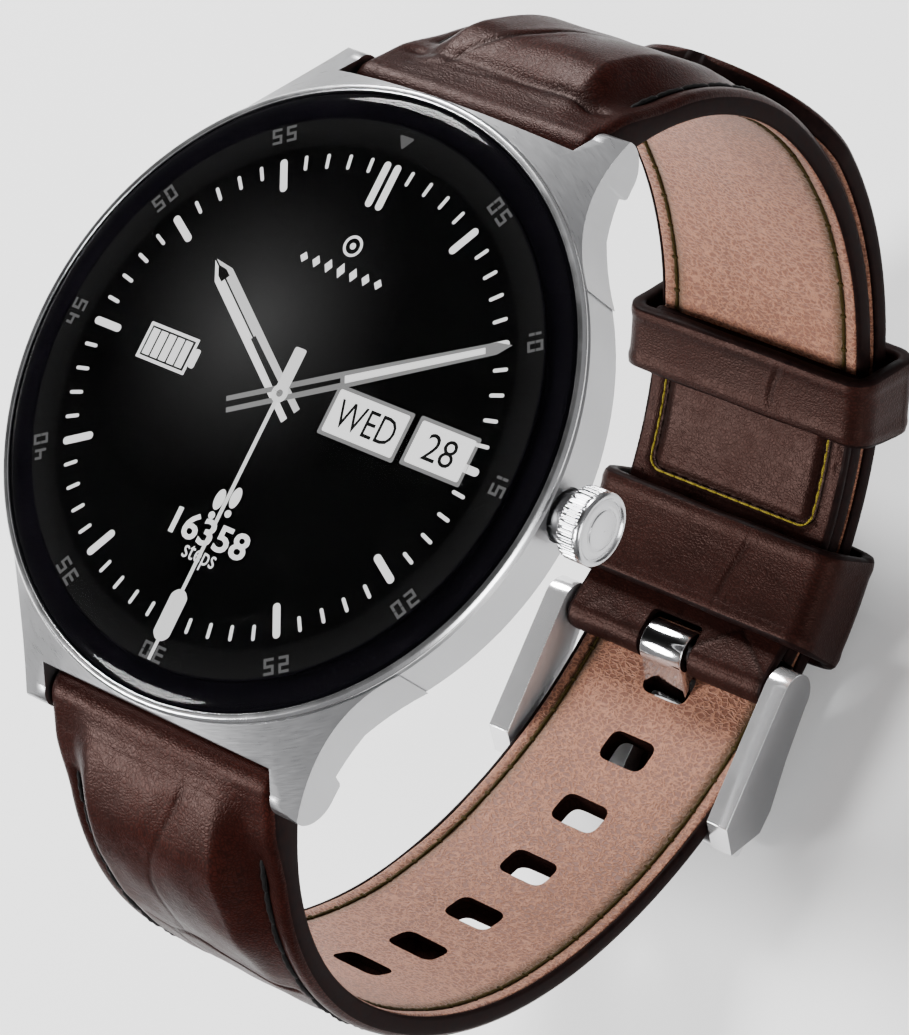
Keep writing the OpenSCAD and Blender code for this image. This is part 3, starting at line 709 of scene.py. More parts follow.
def waves(u, v, seed, length):
    """Smooth noise from -1 to 1, made of a few seeded waves."""
    draw = np.random.default_rng(seed)
    total = np.zeros(np.broadcast(u, v).shape)
    for _ in range(5):
        angle, phase, stretch = draw.uniform(0, 2 * np.pi), draw.uniform(0, 2 * np.pi), draw.uniform(0.7, 1.6)
        total += np.sin((u * np.cos(angle) + v * np.sin(angle)) * 2 * np.pi / (length * stretch) + phase)
    return total / 3


def scale_edges(u, v, seed, across=9.0, along=11.0):
    """Distance in millimetres to the nearest border between big seeded scales."""
    u = u + 0.9 * waves(u, v, seed + 1, 14)
    v = v + 1.1 * waves(u, v, seed + 2, 12)
    size = 97
    jitter = np.random.default_rng(seed).uniform(-0.3, 0.3, (size, size, 2))
    row, column = np.floor(v / along).astype(int), np.floor(u / across).astype(int)
    centres = []
    for i in (-1, 0, 1):
        for j in (-1, 0, 1):
            r, c = row + i, column + j
            moved = jitter[r % size, c % size]
            centre_u = (c + 0.5 + 0.45 * (r % 2) + moved[..., 0]) * across
            centre_v = (r + 0.5 + moved[..., 1]) * along
            centres.append(np.stack([centre_u, centre_v], -1))
    centres = np.stack(centres)
    place = np.stack([u, v], -1)
    far = ((centres - place) ** 2).sum(-1)
    order = np.argsort(far, axis=0)
    first = np.take_along_axis(centres, order[:1, ..., None], axis=0)[0]
    best = np.full(u.shape, 1e9)
    for rank in (1, 2):
        other = np.take_along_axis(centres, order[rank : rank + 1, ..., None], axis=0)[0]
        gap = np.linalg.norm(other - first, axis=-1)
        near = np.take_along_axis(far, order[:1], axis=0)[0]
        next_near = np.take_along_axis(far, order[rank : rank + 1], axis=0)[0]
        best = np.minimum(best, (next_near - near) / (2 * np.maximum(gap, 1e-6)))
    return best


def emboss(u, v, seed, across, along, depth):
    """(height in millimetres, how much of a crease it is from 0 to 1, which also sets the painted shade in the
    crease) of an embossed scale pattern.
    """
    u, v = np.broadcast_arrays(np.asarray(u, float), np.asarray(v, float))
    edge = scale_edges(u, v, seed, across, along)
    strength = 0.35 + 0.65 * smoothstep(waves(u, v, seed + 5, 17), -0.5, 0.35)
    groove = bell(edge, 0.22)
    rim = bell(edge - 0.7, 0.4)
    swell = 0.10 * smoothstep(edge, 0.0, 3.0) + 0.05 * waves(u, v, seed + 7, 5)
    height = strength * (-depth * groove + 0.04 * rim) + swell - 0.1
    return height, strength * groove


# ---------- the strap's course ----------


class Course:
    """Stations along one half of the strap: the inner face's place, the outward direction, the thickness,
    the half width, and the distance from the lug's bar, all in millimetres."""

    def __init__(self, runs):
        self.place = np.concatenate([r[0] for r in runs])
        self.out = np.concatenate([r[1] for r in runs])
        self.thick = np.concatenate([r[2] for r in runs])
        core = self.core()
        self.along = length_along(core) - ROLL_R
        self.half = np.interp(core[:, 1], [TIP_Z, LOOP_Z, BAR_Z - 3], [TIP_W / 2, MID_W / 2, LUG_W / 2])

    def core(self):
        """The strap's middle line."""
        return self.place + self.out * self.thick[:, None] / 2

    def at(self, along):
        """(place, outward direction, thickness, half width) at distances along the course."""
        place, out = (np.stack([np.interp(along, self.along, line[:, k]) for k in (0, 1)], -1)
                      for line in (self.place, self.out))
        thick, half = (np.interp(along, self.along, values) for values in (self.thick, self.half))
        return place, unit(out), thick, half

    def lay(self, points):
        """Across, along and up from the strap's inner face, in millimetres, for points in space."""
        core, step = self.core(), 4000
        result = np.empty((len(points), 3))
        result[:, 0] = points[:, 0]
        for start in range(0, len(points), step):
            part = points[start : start + step]
            nearest = ((part[:, None, 1:] - core[None]) ** 2).sum(-1).argmin(1)
            result[start : start + step, 1] = self.along[nearest]
            result[start : start + step, 2] = ((part[:, 1:] - self.place[nearest]) * self.out[nearest]).sum(1)
        return result


def arc_run(side, centre_y, centre_z, inner, outer, a_from, a_to, pitch=0.25):
    """Stations on an arc. inner and outer give the faces' radii at an angle, and side is +1 at 12 o'clock
    and -1 where the arc is mirrored to 6 o'clock."""
    count = int(abs(a_to - a_from) * outer((a_from + a_to) / 2) / pitch) + 2
    angle = np.linspace(a_from, a_to, count)
    out = np.stack([side * np.cos(angle), np.sin(angle)], -1)
    r_in = np.array([inner(a) for a in angle])
    r_out = np.array([outer(a) for a in angle])
    centre = np.array([side * centre_y, centre_z])
    return centre + out * r_in[:, None], out, r_out - r_in


def ray_radius(shift, lift, radius, angle):
    """Distance from the loop's centre to a circle whose centre lies shift further out and lift higher."""
    along = shift * math.cos(angle) + lift * math.sin(angle)
    return along + math.sqrt(along**2 + radius**2 - shift**2 - lift**2)


def pad_face(shift, lift, radius, roll, lead, lag):
    """Radius of one face of the padded stretch at an angle: a circle that runs into the roll round the bar."""
    bar_r = math.hypot(BAR_Y - LOOP_Y, BAR_Z - LOOP_Z)

    def at(angle):
        blend = float(smoothstep(angle, BAR_A - lead, BAR_A + lag))
        return mix(ray_radius(shift, lift, radius, angle), bar_r + roll, blend)

    return at


PAD_INNER = pad_face(PAD_IN_SHIFT, 0, LOOP_R - PAD_IN_SHIFT, -ROLL_R, 0.12, 0)
PAD_OUTER = pad_face(
    PAD_OUT_SHIFT, PAD_OUT_LIFT, math.hypot(OUTER_R - PAD_OUT_SHIFT, PAD_OUT_LIFT), ROLL_R, 0.24, 0.02)


def roll_run(side):
    """The rounded end beyond the bar."""
    turn = np.linspace(math.radians(9), math.pi / 2, 14)[:-1]
    out = np.array([side * math.cos(BAR_A), math.sin(BAR_A)])
    ahead = np.array([-side * math.sin(BAR_A), math.cos(BAR_A)])
    half = ROLL_R * np.sin(turn)
    core = np.array([side * BAR_Y, BAR_Z]) + ahead * (ROLL_R * np.cos(turn))[:, None]
    return core - out * half[:, None], np.tile(out, (len(turn), 1)), 2 * half


def level(radius):
    """A face that keeps its radius at every angle."""
    return lambda angle: radius


def half_course(side, corner_to, *more):
    """One half of the strap: the roll by the lug, the pad, the corner below it, and what follows."""
    pad = arc_run(side, LOOP_Y, LOOP_Z, PAD_INNER, PAD_OUTER, BAR_A, 0)
    corner = arc_run(side, LOOP_Y, LOOP_Z, level(LOOP_R), level(OUTER_R), -0.01, corner_to)
    return Course([roll_run(side), pad, corner, *more])


def short_course():
    """12 o'clock half: from the lug down to the buckle's bar."""
    return half_course(1, -math.pi / 2)


def long_course():
    """6 o'clock half: down from the lug, along the bottom and up outside the other half."""
    bottom = -math.pi / 2

    def ease_outer(angle):
        return EASE_R + mix(STRAP_T, TAIL_T, float(smoothstep(-angle, 1.2, 1.57)))

    ease = arc_run(-1, -LOOP_Y, EASE_Z, level(EASE_R), ease_outer, EASE_A + bottom - 0.007, bottom)
    tail_faces = level(TAIL_IN), level(TAIL_OUT)
    tip_a = math.asin(TAIL_RISE / (TAIL_IN + TAIL_OUT) * 2)
    tail = arc_run(1, LOOP_Y, LOOP_Z, *tail_faces, bottom + 0.007, tip_a - 0.05)
    tip = arc_run(1, LOOP_Y, LOOP_Z, *tail_faces, tip_a - 0.048, tip_a, 0.1)
    course = half_course(-1, EASE_A + bottom, ease, tail, tip)
    core_z = course.place[:, 1]
    tip_r, tip_z = TIP_W / 2 + 0.2, LOOP_Z - 8.4
    beyond = np.clip(core_z - tip_z, 0, tip_r - 0.02)
    on_tail = (course.place[:, 0] > LOOP_Y) & (core_z > tip_z)
    course.half = np.where(on_tail, np.minimum(course.half, np.sqrt(tip_r**2 - beyond**2)), course.half)
    return course


ACROSS = 95


def border_height(along, thick):
    """Height of the strap's unpadded border above the inner face."""
    return mix(min(thick, 2 * ROLL_R), min(thick, BORDER_T), float(smoothstep(along, 0.5, 9.0)))


def ring_at(section, place, out):
    """A cross-section of (across, up), set at a place (y, z) of the strap."""
    return np.c_[section[:, 0], place + section[:, 1:] * out]


def mirrored(side):
    return [(-x, n) for x, n in reversed(side)]


def with_rest(values, section):
    """values for the first points of a section, and 0 for the rest."""
    return np.concatenate([values, np.zeros(len(section) - len(values))])


def cover_rings(course, seed, lined, fold_depth, pad_start):
    """Rings of the dark leather: crowned over its padding, with rounded painted edges, and a shallow tray
    on its inner side that the lining lies in. Also each ring point's share of painted shade, which darkens its
    creases, the seam's groove and the fold."""
    rings, crease_shades = [], []
    spread = np.linspace(-1, 1, ACROSS)
    stations = zip(course.place, course.out, course.along, course.half, course.thick)
    for place, out, along, half, thick in stations:
        thin = min(1.0, thick / 1.5)
        border = border_height(along, thick)
        edge_r = min(0.8, 0.42 * thick, 0.4 * half)
        x = spread * (half - edge_r)
        inset = half - np.abs(x)
        crown = smoothstep(inset, 2.0, 5.0) * float(smoothstep(along, -1.5, pad_start))
        height = mix(border, thick + 0.4 * float(smoothstep(thick, 2.2, 3.6)), crown)
        bump, crease_and_shade = emboss(x, along, seed, 13, 20, 0.16)
        fade = float(smoothstep(along, 1.0, 3.0)) * thin * smoothstep(inset, 2.1, 3.1)
        fold = fold_depth * bell(along - 3.3, 0.55) * smoothstep(inset, 0.5, 2.5)
        seam = bell(inset - OUTER_SEAM, 0.42) * float(smoothstep(along, 5.0, 6.5))
        height = height + bump * fade - fold * (1 + 0.25 * waves(x, along, seed + 9, 16)) - 0.2 * seam * thin
        # Painted shade: creases, the seam's groove and the fold get a darker colour.
        crease_and_shade = np.clip(crease_and_shade * fade + 0.45 * seam + fold, 0, 1)
        low = min(1.0, thick / 2)
        tray = 0.06 * low + LINING_T * lined(along) * thin
        rim = [(half - edge_r + edge_r * math.cos(a), border - edge_r + edge_r * math.sin(a))
               for a in np.radians([68, 45, 22, 0])]
        side = [(half - inward, rise * low)
                for inward, rise in ((0, 0.32), (0.08, 0.12), (0.26, 0.04), (0.34, 0.06))]
        right = rim + side + [(half - 0.36, tray)]
        under = [(s * (half - 0.5), tray) for s in np.linspace(0.9, -0.9, 7)]
        section = np.array(list(zip(x, height)) + right + under + mirrored(right))
        crease_shades.append(with_rest(crease_and_shade, section))
        rings.append(ring_at(section, place, out))
    return np.array(rings), np.array(crease_shades)


def lining_rings(course, start, end):
    """Rings of the thin lining, with a stitching groove near each edge, and each ring point's share of painted
    shade along the seams.
    """
    rings, crease_shades = [], []
    spread = np.linspace(1, -1, ACROSS)
    for i in np.flatnonzero((course.along >= start) & (course.along <= end)):
        half = max(course.half[i] - 0.38, 0.05)
        x = spread * (half - min(0.2, 0.4 * half))
        inset = course.half[i] - np.abs(x)
        seam = bell(inset - INNER_SEAM, 0.36)
        soft = 0.05 * waves(x, course.along[i], 77, 9)
        depth = 0.2 * seam + soft - 0.05 + 0.04 * smoothstep(inset, 2.4, 1.7)
        rim = [(-half + 0.06, 0.06 + float(depth[-1])), (-half, 0.2), (-half, LINING_T)]
        top = [(s * half, LINING_T) for s in np.linspace(-0.8, 0.8, 5)]
        section = np.array(list(zip(x, depth)) + rim + top + mirrored(rim))
        # Painted shade: darker colour in the stitching groove and just inside it.
        crease_shades.append(with_rest(np.clip(0.55 * seam + 0.6 * bell(inset - 2.0, 0.5), 0, 1), section))
        rings.append(ring_at(section, course.place[i], course.out[i]))
    return np.array(rings), np.array(crease_shades)


def mesh_points(mesh):
    """The mesh's points, in millimetres."""
    points = np.empty(len(mesh.vertices) * 3)
    mesh.vertices.foreach_get("co", points)
    return points.reshape(-1, 3) / MM


def known_at(points, values):
    """Finds a point's value by its place, and 0 for a point that a cut has made."""
    known = {tuple(np.round(p, 3)): v for p, v in zip(points, values)}
    return lambda found: np.array([known.get(tuple(np.round(p, 3)), 0.0) for p in found])


def store_lay(mesh, lay, crease_and_shade):
    """Stores where each point lies on its leather, in millimetres, and how deep in a crease or seam it is, which
    sets its painted shade.
    """
    fields = ("lay", "FLOAT_VECTOR", "vector", lay), ("crease_and_shade", "FLOAT", "value", crease_and_shade)
    for name, kind, field, values in fields:
        stored = mesh.attributes.new(name, kind, "POINT")
        stored.data.foreach_set(field, values.astype(np.float32).ravel())


def hole_plugs(holes):
    """Rounded plugs through the strap, one at each adjustment hole."""
    corner = fillet(rectangle(-2.25, 2.25, -1.45, 1.45), 1.0, 6)
    plugs = [np.array([ring_at(corner, place + out * depth, np.array([-out[1], out[0]])) for depth in (-3, 5)])
             for place, out in holes]
    return join([loft(rings) for rings in plugs])


def paint_holes(target, holes):
    """Gives the holes' walls the last material of the piece."""
    for face in target.data.polygons:
        centre = np.array(face.center) / MM
        for place, out in holes:
            side = centre[1:] - place
            near = abs(centre[0]) < 2.5 and abs(side[0] * out[1] - side[1] * out[0]) < 1.7
            if near and abs(side @ out) < 4 and abs(face.normal.y * out[0] + face.normal.z * out[1]) < 0.5:
                face.material_index = len(target.data.materials) - 1


def strap_holes():
    """(place, outward direction) of each hole, along the eased stretch and then the corner."""
    ease_len = EASE_R * (EASE_A - FIRST_HOLE_A)
    holes = []
    for i in range(HOLE_COUNT):
        s = i * HOLE_PITCH
        if s < ease_len:
            centre, r, a = (LOOP_Y, EASE_Z), EASE_R, FIRST_HOLE_A + s / EASE_R
        else:
            centre, r, a = (-LOOP_Y, LOOP_Z), LOOP_R, EASE_A + (s - ease_len) / LOOP_R
        out = np.array([-math.sin(a), -math.cos(a)])
        holes.append((np.array(centre) + out * r, out))
    return holes


def stitch(course, along, x, height, length, radius, up):
    """One twisted stitch that dips into the leather at both ends. up is -1 on the inner face."""
    t = np.linspace(0, 1, 17)
    around = np.linspace(0, 2 * np.pi, 8, endpoint=False)
    place, out, _, _ = course.at(along + (t - 0.5) * length)
    lift = height + up * radius * (0.35 * np.sin(np.pi * t) ** 0.6 - 0.25)
    swell = 0.55 + 0.45 * np.sin(np.pi * t) ** 0.4
    rings = []
    for k in range(len(t)):
        r = radius * swell[k] * (1 + 0.16 * np.cos(2 * around - 20 * t[k]))
        rings.append(np.c_[x + r * np.cos(around), place[k] + out[k] * (lift[k] + r * np.sin(around))[:, None]])
    return loft(np.array(rings))


def knot(course, along, x, height, radius):
    """The lump where one stitch ends and the next begins, a little wider than the thread."""
    place, out = (found[0] for found in course.at(np.array([along]))[:2])
    ahead = np.array([-out[1], out[0]])
    around = np.linspace(0, 2 * np.pi, 8, endpoint=False)
    rings = []
    for t in np.linspace(-0.95, 0.95, 7):
        r = radius * math.sqrt(1 - t * t)
        flat = place + out * (height + r * np.sin(around))[:, None] + ahead * (r * np.cos(around))[:, None]
        rings.append(np.c_[np.full(8, x + 1.6 * radius * t), flat])
    return loft(np.array(rings))


def sew_rows(name, course, span, place_at, material, replaces, length, radius, up=1, knots=0.0):
    """A row of stitches near each edge. place_at gives (x on the right, height) at a distance along."""
    places = [(along, side * place_at(along)[0], place_at(along)[1])
              for along in np.arange(*span, STITCH_PITCH) for side in (-1, 1)]
    parts = [stitch(course, along, x, height, length, radius, up) for along, x, height in places]
    if knots:
        parts += [knot(course, along + STITCH_PITCH / 2, x, height, knots) for along, x, height in places]
    piece(name, *join(parts), [material], slot="thread_dark", replaces=replaces)


def face_materials(rows, ring_size, wrap=0):
    """0 on the outer face and wrap more faces at each side of it, and 1 elsewhere, for loft's faces."""
    one_row = [0 if k < ACROSS - 1 + wrap or k >= ring_size - wrap else 1 for k in range(ring_size)]
    return one_row * (rows - 1) + [1, 1]


def build_half(name, course, seed, tail, fold_depth, pad_start, holes=()):
    """Leather and lining of one half of the strap. The lining ends tail before the leather does."""
    def lined(along):
        return float(smoothstep(along, 2.6, 2.9))

    rings, crease_shades = cover_rings(course, seed, lined, fold_depth, pad_start)
    which = face_materials(*rings.shape[:2], wrap=3)
    base = loft(rings)
    cover = piece(f"{name}_cover", *base, [LEATHER, EDGE], which, slot="leather",
                  replaces=(f"{name}_leather", f"{name}_padding"))
    rings, lining_seam_shades = lining_rings(course, 3.0, course.along[-1] - tail)
    lining_base = loft(rings)
    lining = piece(f"{name}_lining", *lining_base, [LINING, EDGE], slot="lining", replaces=(f"{name}_lining",))
    for target, points, values in ((cover, base[0], crease_shades), (lining, lining_base[0], lining_seam_shades)):
        if holes:
            cut(target, piece("cutter", *hole_plugs(holes), [EDGE], body=None))
            target.data.materials.append(HOLE_WALL)
            smooth_by_angle(target, 50)
            paint_holes(target, holes)
        found = mesh_points(target.data)
        store_lay(target.data, course.lay(found), known_at(points, values.ravel())(found))


def sew_half(name, course, outer_to, inner_to):
    """Black stitches outside and olive ones on the lining. Each span ends at a distance along the course."""
    def outer_place(along):
        thick = np.interp(along, course.along, course.thick)
        return course.at(along)[3] - OUTER_SEAM, border_height(along, thick) - 0.07

    def inner_place(along):
        return course.at(along)[3] - INNER_SEAM, 0.08

    sew_rows(f"{name}_outer_stitches", course, (7.5, outer_to), outer_place, THREAD_BLACK,
             replaces=(f"{name}_thread",), length=3.3, radius=0.2)
    sew_rows(f"{name}_inner_stitches", course, (6.5, inner_to), inner_place, THREAD_OLIVE,
             replaces=(), length=3.1, radius=0.15, up=-1, knots=0.19)


def build_strap():
    short, long = short_course(), long_course()
    short_end, long_end = short.along[-1], long.along[-1]
    build_half("upper_strap", short, 11, 0, 0.26, 6.5)
    sew_half("upper_strap", short, short_end - 3, short_end - 23)
    build_half("lower_strap", long, 39, 0.4, 0.0, 3.0, strap_holes())
    sew_half("lower_strap", long, long_end - 9, long_end - 9)


# ---------- buckle flap and keepers ----------


def ring_place(radius, angle):
    """A place on a circle about the loop's centre, for an angle in degrees."""
    a = math.radians(angle)
    return np.array([LOOP_Y + radius * math.cos(a), LOOP_Z + radius * math.sin(a)])


def smooth_line(points, pitch):
    """Catmull-Rom line through points, at about even spacing."""
    points = np.asarray(points, float)
    ends = np.concatenate([[2 * points[0] - points[1]], points, [2 * points[-1] - points[-2]]])
    out = []
    for k in range(1, len(ends) - 2):
        p0, p1, p2, p3 = ends[k - 1 : k + 3]
        count = max(2, int(np.linalg.norm(p2 - p1) / pitch))
        t = np.linspace(0, 1, count, endpoint=False)[:, None]
        out.append(0.5 * (2 * p1 + (p2 - p0) * t + (2 * p0 - 5 * p1 + 4 * p2 - p3) * t**2
                          + (3 * p1 - p0 - 3 * p2 + p3) * t**3))
    out.append(points[-1:])
    return np.concatenate(out)


def flap_line():
    """Middle line of the folded leather: down the inside of the loop, round the bar and out below it."""
    mid = LOOP_R - FLAP_T / 2
    down = [ring_place(mid, a) for a in range(-47, -87, -3)]
    turn_r = FOLD_R - FLAP_T / 2
    over = [(PIVOT_Y + turn_r * math.cos(math.radians(a)), PIVOT_Z + turn_r * math.sin(math.radians(a)))
            for a in range(80, 281, 20)]
    under = [(LOOP_Y, LOOP_Z - OUTER_R + FLAP_T / 2)]
    return smooth_line(down + over + under, 0.25)


FLAP_SEAM = 1.9
FLAP_SEAM_END = -71.0
SEAM_CORNER = 1.2


def flap_seam_distance(x, angle, half):
    """Distance from the U-shaped seam on the flap, in millimetres, negative inside the U."""
    side = np.abs(x) - (half - FLAP_SEAM)
    bottom = np.radians(FLAP_SEAM_END - angle) * LOOP_R
    outside = np.hypot(*(np.maximum(d + SEAM_CORNER, 0) for d in (side, bottom))) - SEAM_CORNER
    return np.maximum(outside, np.maximum(side, bottom))


def build_flap():
    line = flap_line()
    ahead = unit(np.gradient(line, axis=0))
    show = np.stack([ahead[:, 1], -ahead[:, 0]], -1)
    along = length_along(line)
    top, edge_r = FLAP_T / 2, 0.3
    rings, crease_shades = [], []
    spread = np.linspace(-1, 1, ACROSS)
    for place, out, far in zip(line, show, along):
        half = np.interp(place[1], [TIP_Z, LOOP_Z], [TIP_W / 2, MID_W / 2]) + (0.02 if place[1] < TIP_Z else 0)
        x = spread * (half - edge_r)
        bump, crease_and_shade = emboss(x, far, 5, 7.5, 9.0, 0.12)
        angle = math.degrees(math.atan2(place[1] - LOOP_Z, place[0] - LOOP_Y))
        on_flap = place[0] > PIVOT_Y + 3
        distance = flap_seam_distance(x, angle, half) if on_flap else np.full(ACROSS, 9.0)
        groove = bell(distance, 0.45)
        pillow = 0.16 * smoothstep(-distance, 0.3, 1.1)
        height = top + 0.5 * bump * (distance > 1) - 0.24 * groove + pillow
        rim = [(half - 0.08, top - 0.1), (half, top - 0.3), (half, 0.1 - top), (half - 0.1, -top)]
        under = [(s * half, -top) for s in np.linspace(0.8, -0.8, 7)]
        section = np.array(list(zip(x, height)) + rim + under + mirrored(rim))
        rings.append(ring_at(section, place, out))
        # Painted shade: the seam's groove and the embossed creases darken the colour.
        crease_shades.append(with_rest(np.clip(0.9 * groove + crease_and_shade * (distance > 1), 0, 1), section))
    rings = np.array(rings)
    points, faces = loft(rings)
    flap = piece("buckle_loop_leather", points, faces, [KEEPER_LEATHER, EDGE], face_materials(*rings.shape[:2]),
                 slot="leather", replaces=("buckle_loop",))
    slot_half = (TONGUE_W + 1.0) / 2
    outline = fillet(rectangle(-slot_half, slot_half, -4, 2.3), 0.6)
    slot_points, slot_faces = prism(outline, PIVOT_Z - 4, PIVOT_Z + 4)
    slot_points[:, 1] += PIVOT_Y
    cut(flap, piece("cutter", slot_points, slot_faces, [EDGE], body=None))
    smooth_by_angle(flap, 50)
    found = mesh_points(flap.data)
    far = known_at(points, np.repeat(along, rings.shape[1]))(found)
    crease_and_shade = known_at(points, np.ravel(crease_shades))(found)
    store_lay(flap.data, np.c_[found[:, 0], far, np.zeros(len(found))], crease_and_shade)


def sew_flap():
    """The yellow U of thread on the flap."""
    radius = LOOP_R - FLAP_T - 0.06
    half = TIP_W / 2 + 0.15 - FLAP_SEAM
    corner, step = SEAM_CORNER, math.degrees(1 / radius)
    seam = [(half, angle) for angle in np.arange(-57.0, FLAP_SEAM_END + 2.0, -0.2)]
    for a in np.radians(np.linspace(0, 90, 7)):
        seam.append((half - corner + corner * math.cos(a),
                     FLAP_SEAM_END + (corner - corner * math.sin(a)) * step))
    seam += [(x, FLAP_SEAM_END) for x in np.arange(half - corner - 0.2, 0, -0.2)]
    line = np.array([(x, *ring_place(radius, a)) for x, a in seam + mirrored(seam)])
    far = length_along(line)
    pitch, length, thread_r = 1.1, 1.06, 0.095
    t = np.linspace(0, 1, 8)
    around = np.linspace(0, 2 * np.pi, 8, endpoint=False)
    strand = 1 + 0.16 * np.cos(2 * around[None] - 5 * t[:, None])
    r = thread_r * (np.sin(np.pi * np.clip(t, 0.07, 0.93)) ** 0.35)[:, None] * strand
    parts = []
    for start in np.arange(0.1, far[-1] - pitch, pitch):
        places = np.stack([np.interp(start + t * length, far, line[:, k]) for k in range(3)], -1)
        ahead = unit(np.gradient(places, axis=0))
        out = unit(np.stack([np.zeros(8), LOOP_Y - places[:, 1], LOOP_Z - places[:, 2]], -1))
        side = np.cross(ahead, out)
        lift = 0.05 * np.sin(np.pi * t)[:, None, None] * out[:, None]
        parts.append(loft(places[:, None] + lift + side[:, None] * (r * np.cos(around))[..., None]
                          + out[:, None] * (r * np.sin(around))[..., None]))
    piece("flap_stitches", *join(parts), [THREAD_YELLOW], slot="thread_yellow", replaces=("loop_thread",))


def build_keeper(name, body, node, a_from, a_to, seed):
    """A leather band in a rounded rectangle round both layers, with thick painted edges."""
    half_in, thick, ends = 11.0, 1.1, 29
    low = LOOP_R - FLAP_T - 0.4
    high = TAIL_OUT + 0.3
    mid_r = (low + high) / 2
    top = thick / 2
    half_x, half_r = half_in + top, (high - low) / 2 + top
    corner = 1.35
    outline = []
    for cx, cr, start in ((1, 1, 0), (-1, 1, 90), (-1, -1, 180), (1, -1, 270)):
        outline += arc_points(cx * (half_x - corner), cr * (half_r - corner), corner, start, start + 90, 9)
    outline = np.array(outline + outline[:1])
    far = length_along(outline)
    around = np.linspace(0, far[-1], int(far[-1] / 0.25), endpoint=False)
    path = np.stack([np.interp(around, far, outline[:, k]) for k in (0, 1)], -1)
    ahead = unit(np.roll(path, -1, axis=0) - np.roll(path, 1, axis=0))
    width = math.radians(a_to - a_from) * mid_r
    spread = np.linspace(-width / 2 + 0.3, width / 2 - 0.3, ends)
    inset = width / 2 - np.abs(spread)
    rings, crease_shades, lays = [], [], []
    for i, centre in enumerate(path):
        out = np.array([ahead[i, 1], -ahead[i, 0]])
        lean = centre[0] - 3.6 - 0.5 * np.sin(spread / width * 4 + seed)
        crease_and_shade = bell(lean, 0.2) * smoothstep(np.abs(spread), width / 2 - 0.6, width / 2 - 2.2)
        bump = 0.05 * bell(np.abs(lean) - 0.5, 0.3) - 0.2 * crease_and_shade
        bump = bump + 0.06 * waves(around[i], spread, seed, 11) + 0.14 * bell(inset - 0.9, 0.45)
        ripple = 0.12 * float(waves(np.array(around[i]), np.array(0.0), seed + 3, 9))
        height = top + 0.7 * bump + 0.05
        edge = width / 2 + ripple
        rim = [(edge - 0.06, top - 0.12), (edge, top - 0.32), (edge, 0.3 - top), (edge - 0.12, 0.08 - top)]
        under = [(s * width / 2, -top) for s in (0.85, 0.4, 0, -0.4, -0.85)]
        section = np.array(list(zip(spread, height)) + rim + under + mirrored(rim))
        place = centre + out * section[:, 1:]
        radius = mid_r + place[:, 1]
        angle = math.radians((a_from + a_to) / 2) + section[:, 0] / mid_r
        rings.append(np.c_[place[:, 0], LOOP_Y + radius * np.cos(angle), LOOP_Z + radius * np.sin(angle)])
        # Painted shade in the crease, weaker on the side nearer the loop's centre.
        crease_shades.append(with_rest(crease_and_shade * (0.6 if centre[1] < 0 else 1.0), section))
        lays.append(np.c_[np.full(len(section), around[i]), section[:, 0], np.zeros(len(section))])
    rings = np.array(rings)
    painted = [0 if k < ends - 1 or ends + 4 <= k < ends + 9 else 1 for k in range(rings.shape[1])]
    band = piece(name, *loft(rings, closed=True), [KEEPER_LEATHER, EDGE], painted * len(rings), body=body,
                 slot="leather", replaces=(node,))
    store_lay(band.data, np.concatenate(lays), np.concatenate(crease_shades))


# ---------- case, glass and crown ----------


def build_bezel():
    rim_z, inner_r = CASE_TOP - 1.1, 21.6
    profile = [(inner_r, WALL_TOP), (CASE_R - 0.18, WALL_TOP), (CASE_R - 0.18, WALL_TOP + 0.07),
               (CASE_R, WALL_TOP + 0.12), (CASE_R, WALL_TOP + 0.25), (CASE_R - 0.2, rim_z),
               (GLASS_R + 0.14, rim_z + 0.06), (GLASS_R + 0.05, rim_z - 0.08), (GLASS_R + 0.05, WALL_TOP + 0.1),
               (inner_r, WALL_TOP + 0.1)]
    bezel = piece("bezel", *lathe(fillet(profile, 0.05, 3), 360), [BEZEL_STEEL], slot="steel_polished",
                  replaces=("bezel_ring",))
    smooth_by_angle(bezel, 35)


def dome_z(radius):
    """Height of the glass's top at a radius: nearly flat, with a rounded shoulder."""
    sagged = CASE_TOP - radius**2 / 800
    t = max(0.0, (radius - GLASS_R + SHOULDER) / SHOULDER)
    return sagged - 0.72 * (1 - math.sqrt(max(0.0, 1 - t**2.2)))


def build_glass():
    """Domed glass with a rounded shoulder, printed black underneath around the picture."""
    flat_r = GLASS_R - SHOULDER
    shoulder = GLASS_R - SHOULDER * np.cos(np.linspace(0, math.pi / 2, 18))[1:]
    top = [(r, dome_z(r)) for r in np.concatenate([np.linspace(0.02, flat_r, 24), shoulder])]
    under_z, lip_z = PANEL_TOP + 0.03, WALL_TOP + 0.34
    bottom = [(GLASS_R, lip_z + 0.02), (GLASS_R - 0.05, lip_z), (21.2, lip_z), (21.0, lip_z + 0.06),
              (21.0, under_z), (20.85, under_z), (10, under_z), (0.02, under_z)]
    printed = range(len(top) - 2, len(top) + 5)
    which = [1 if k in printed else 0 for k in range(len(top + bottom))] * 256
    glass = piece("dial_glass", *lathe(np.array(top + bottom)), [GLASS, BLACK_PRINT], which, slot="glass",
                  replaces=("cover_glass",))
    glass.data.flip_normals()
    smooth_by_angle(glass, 25)


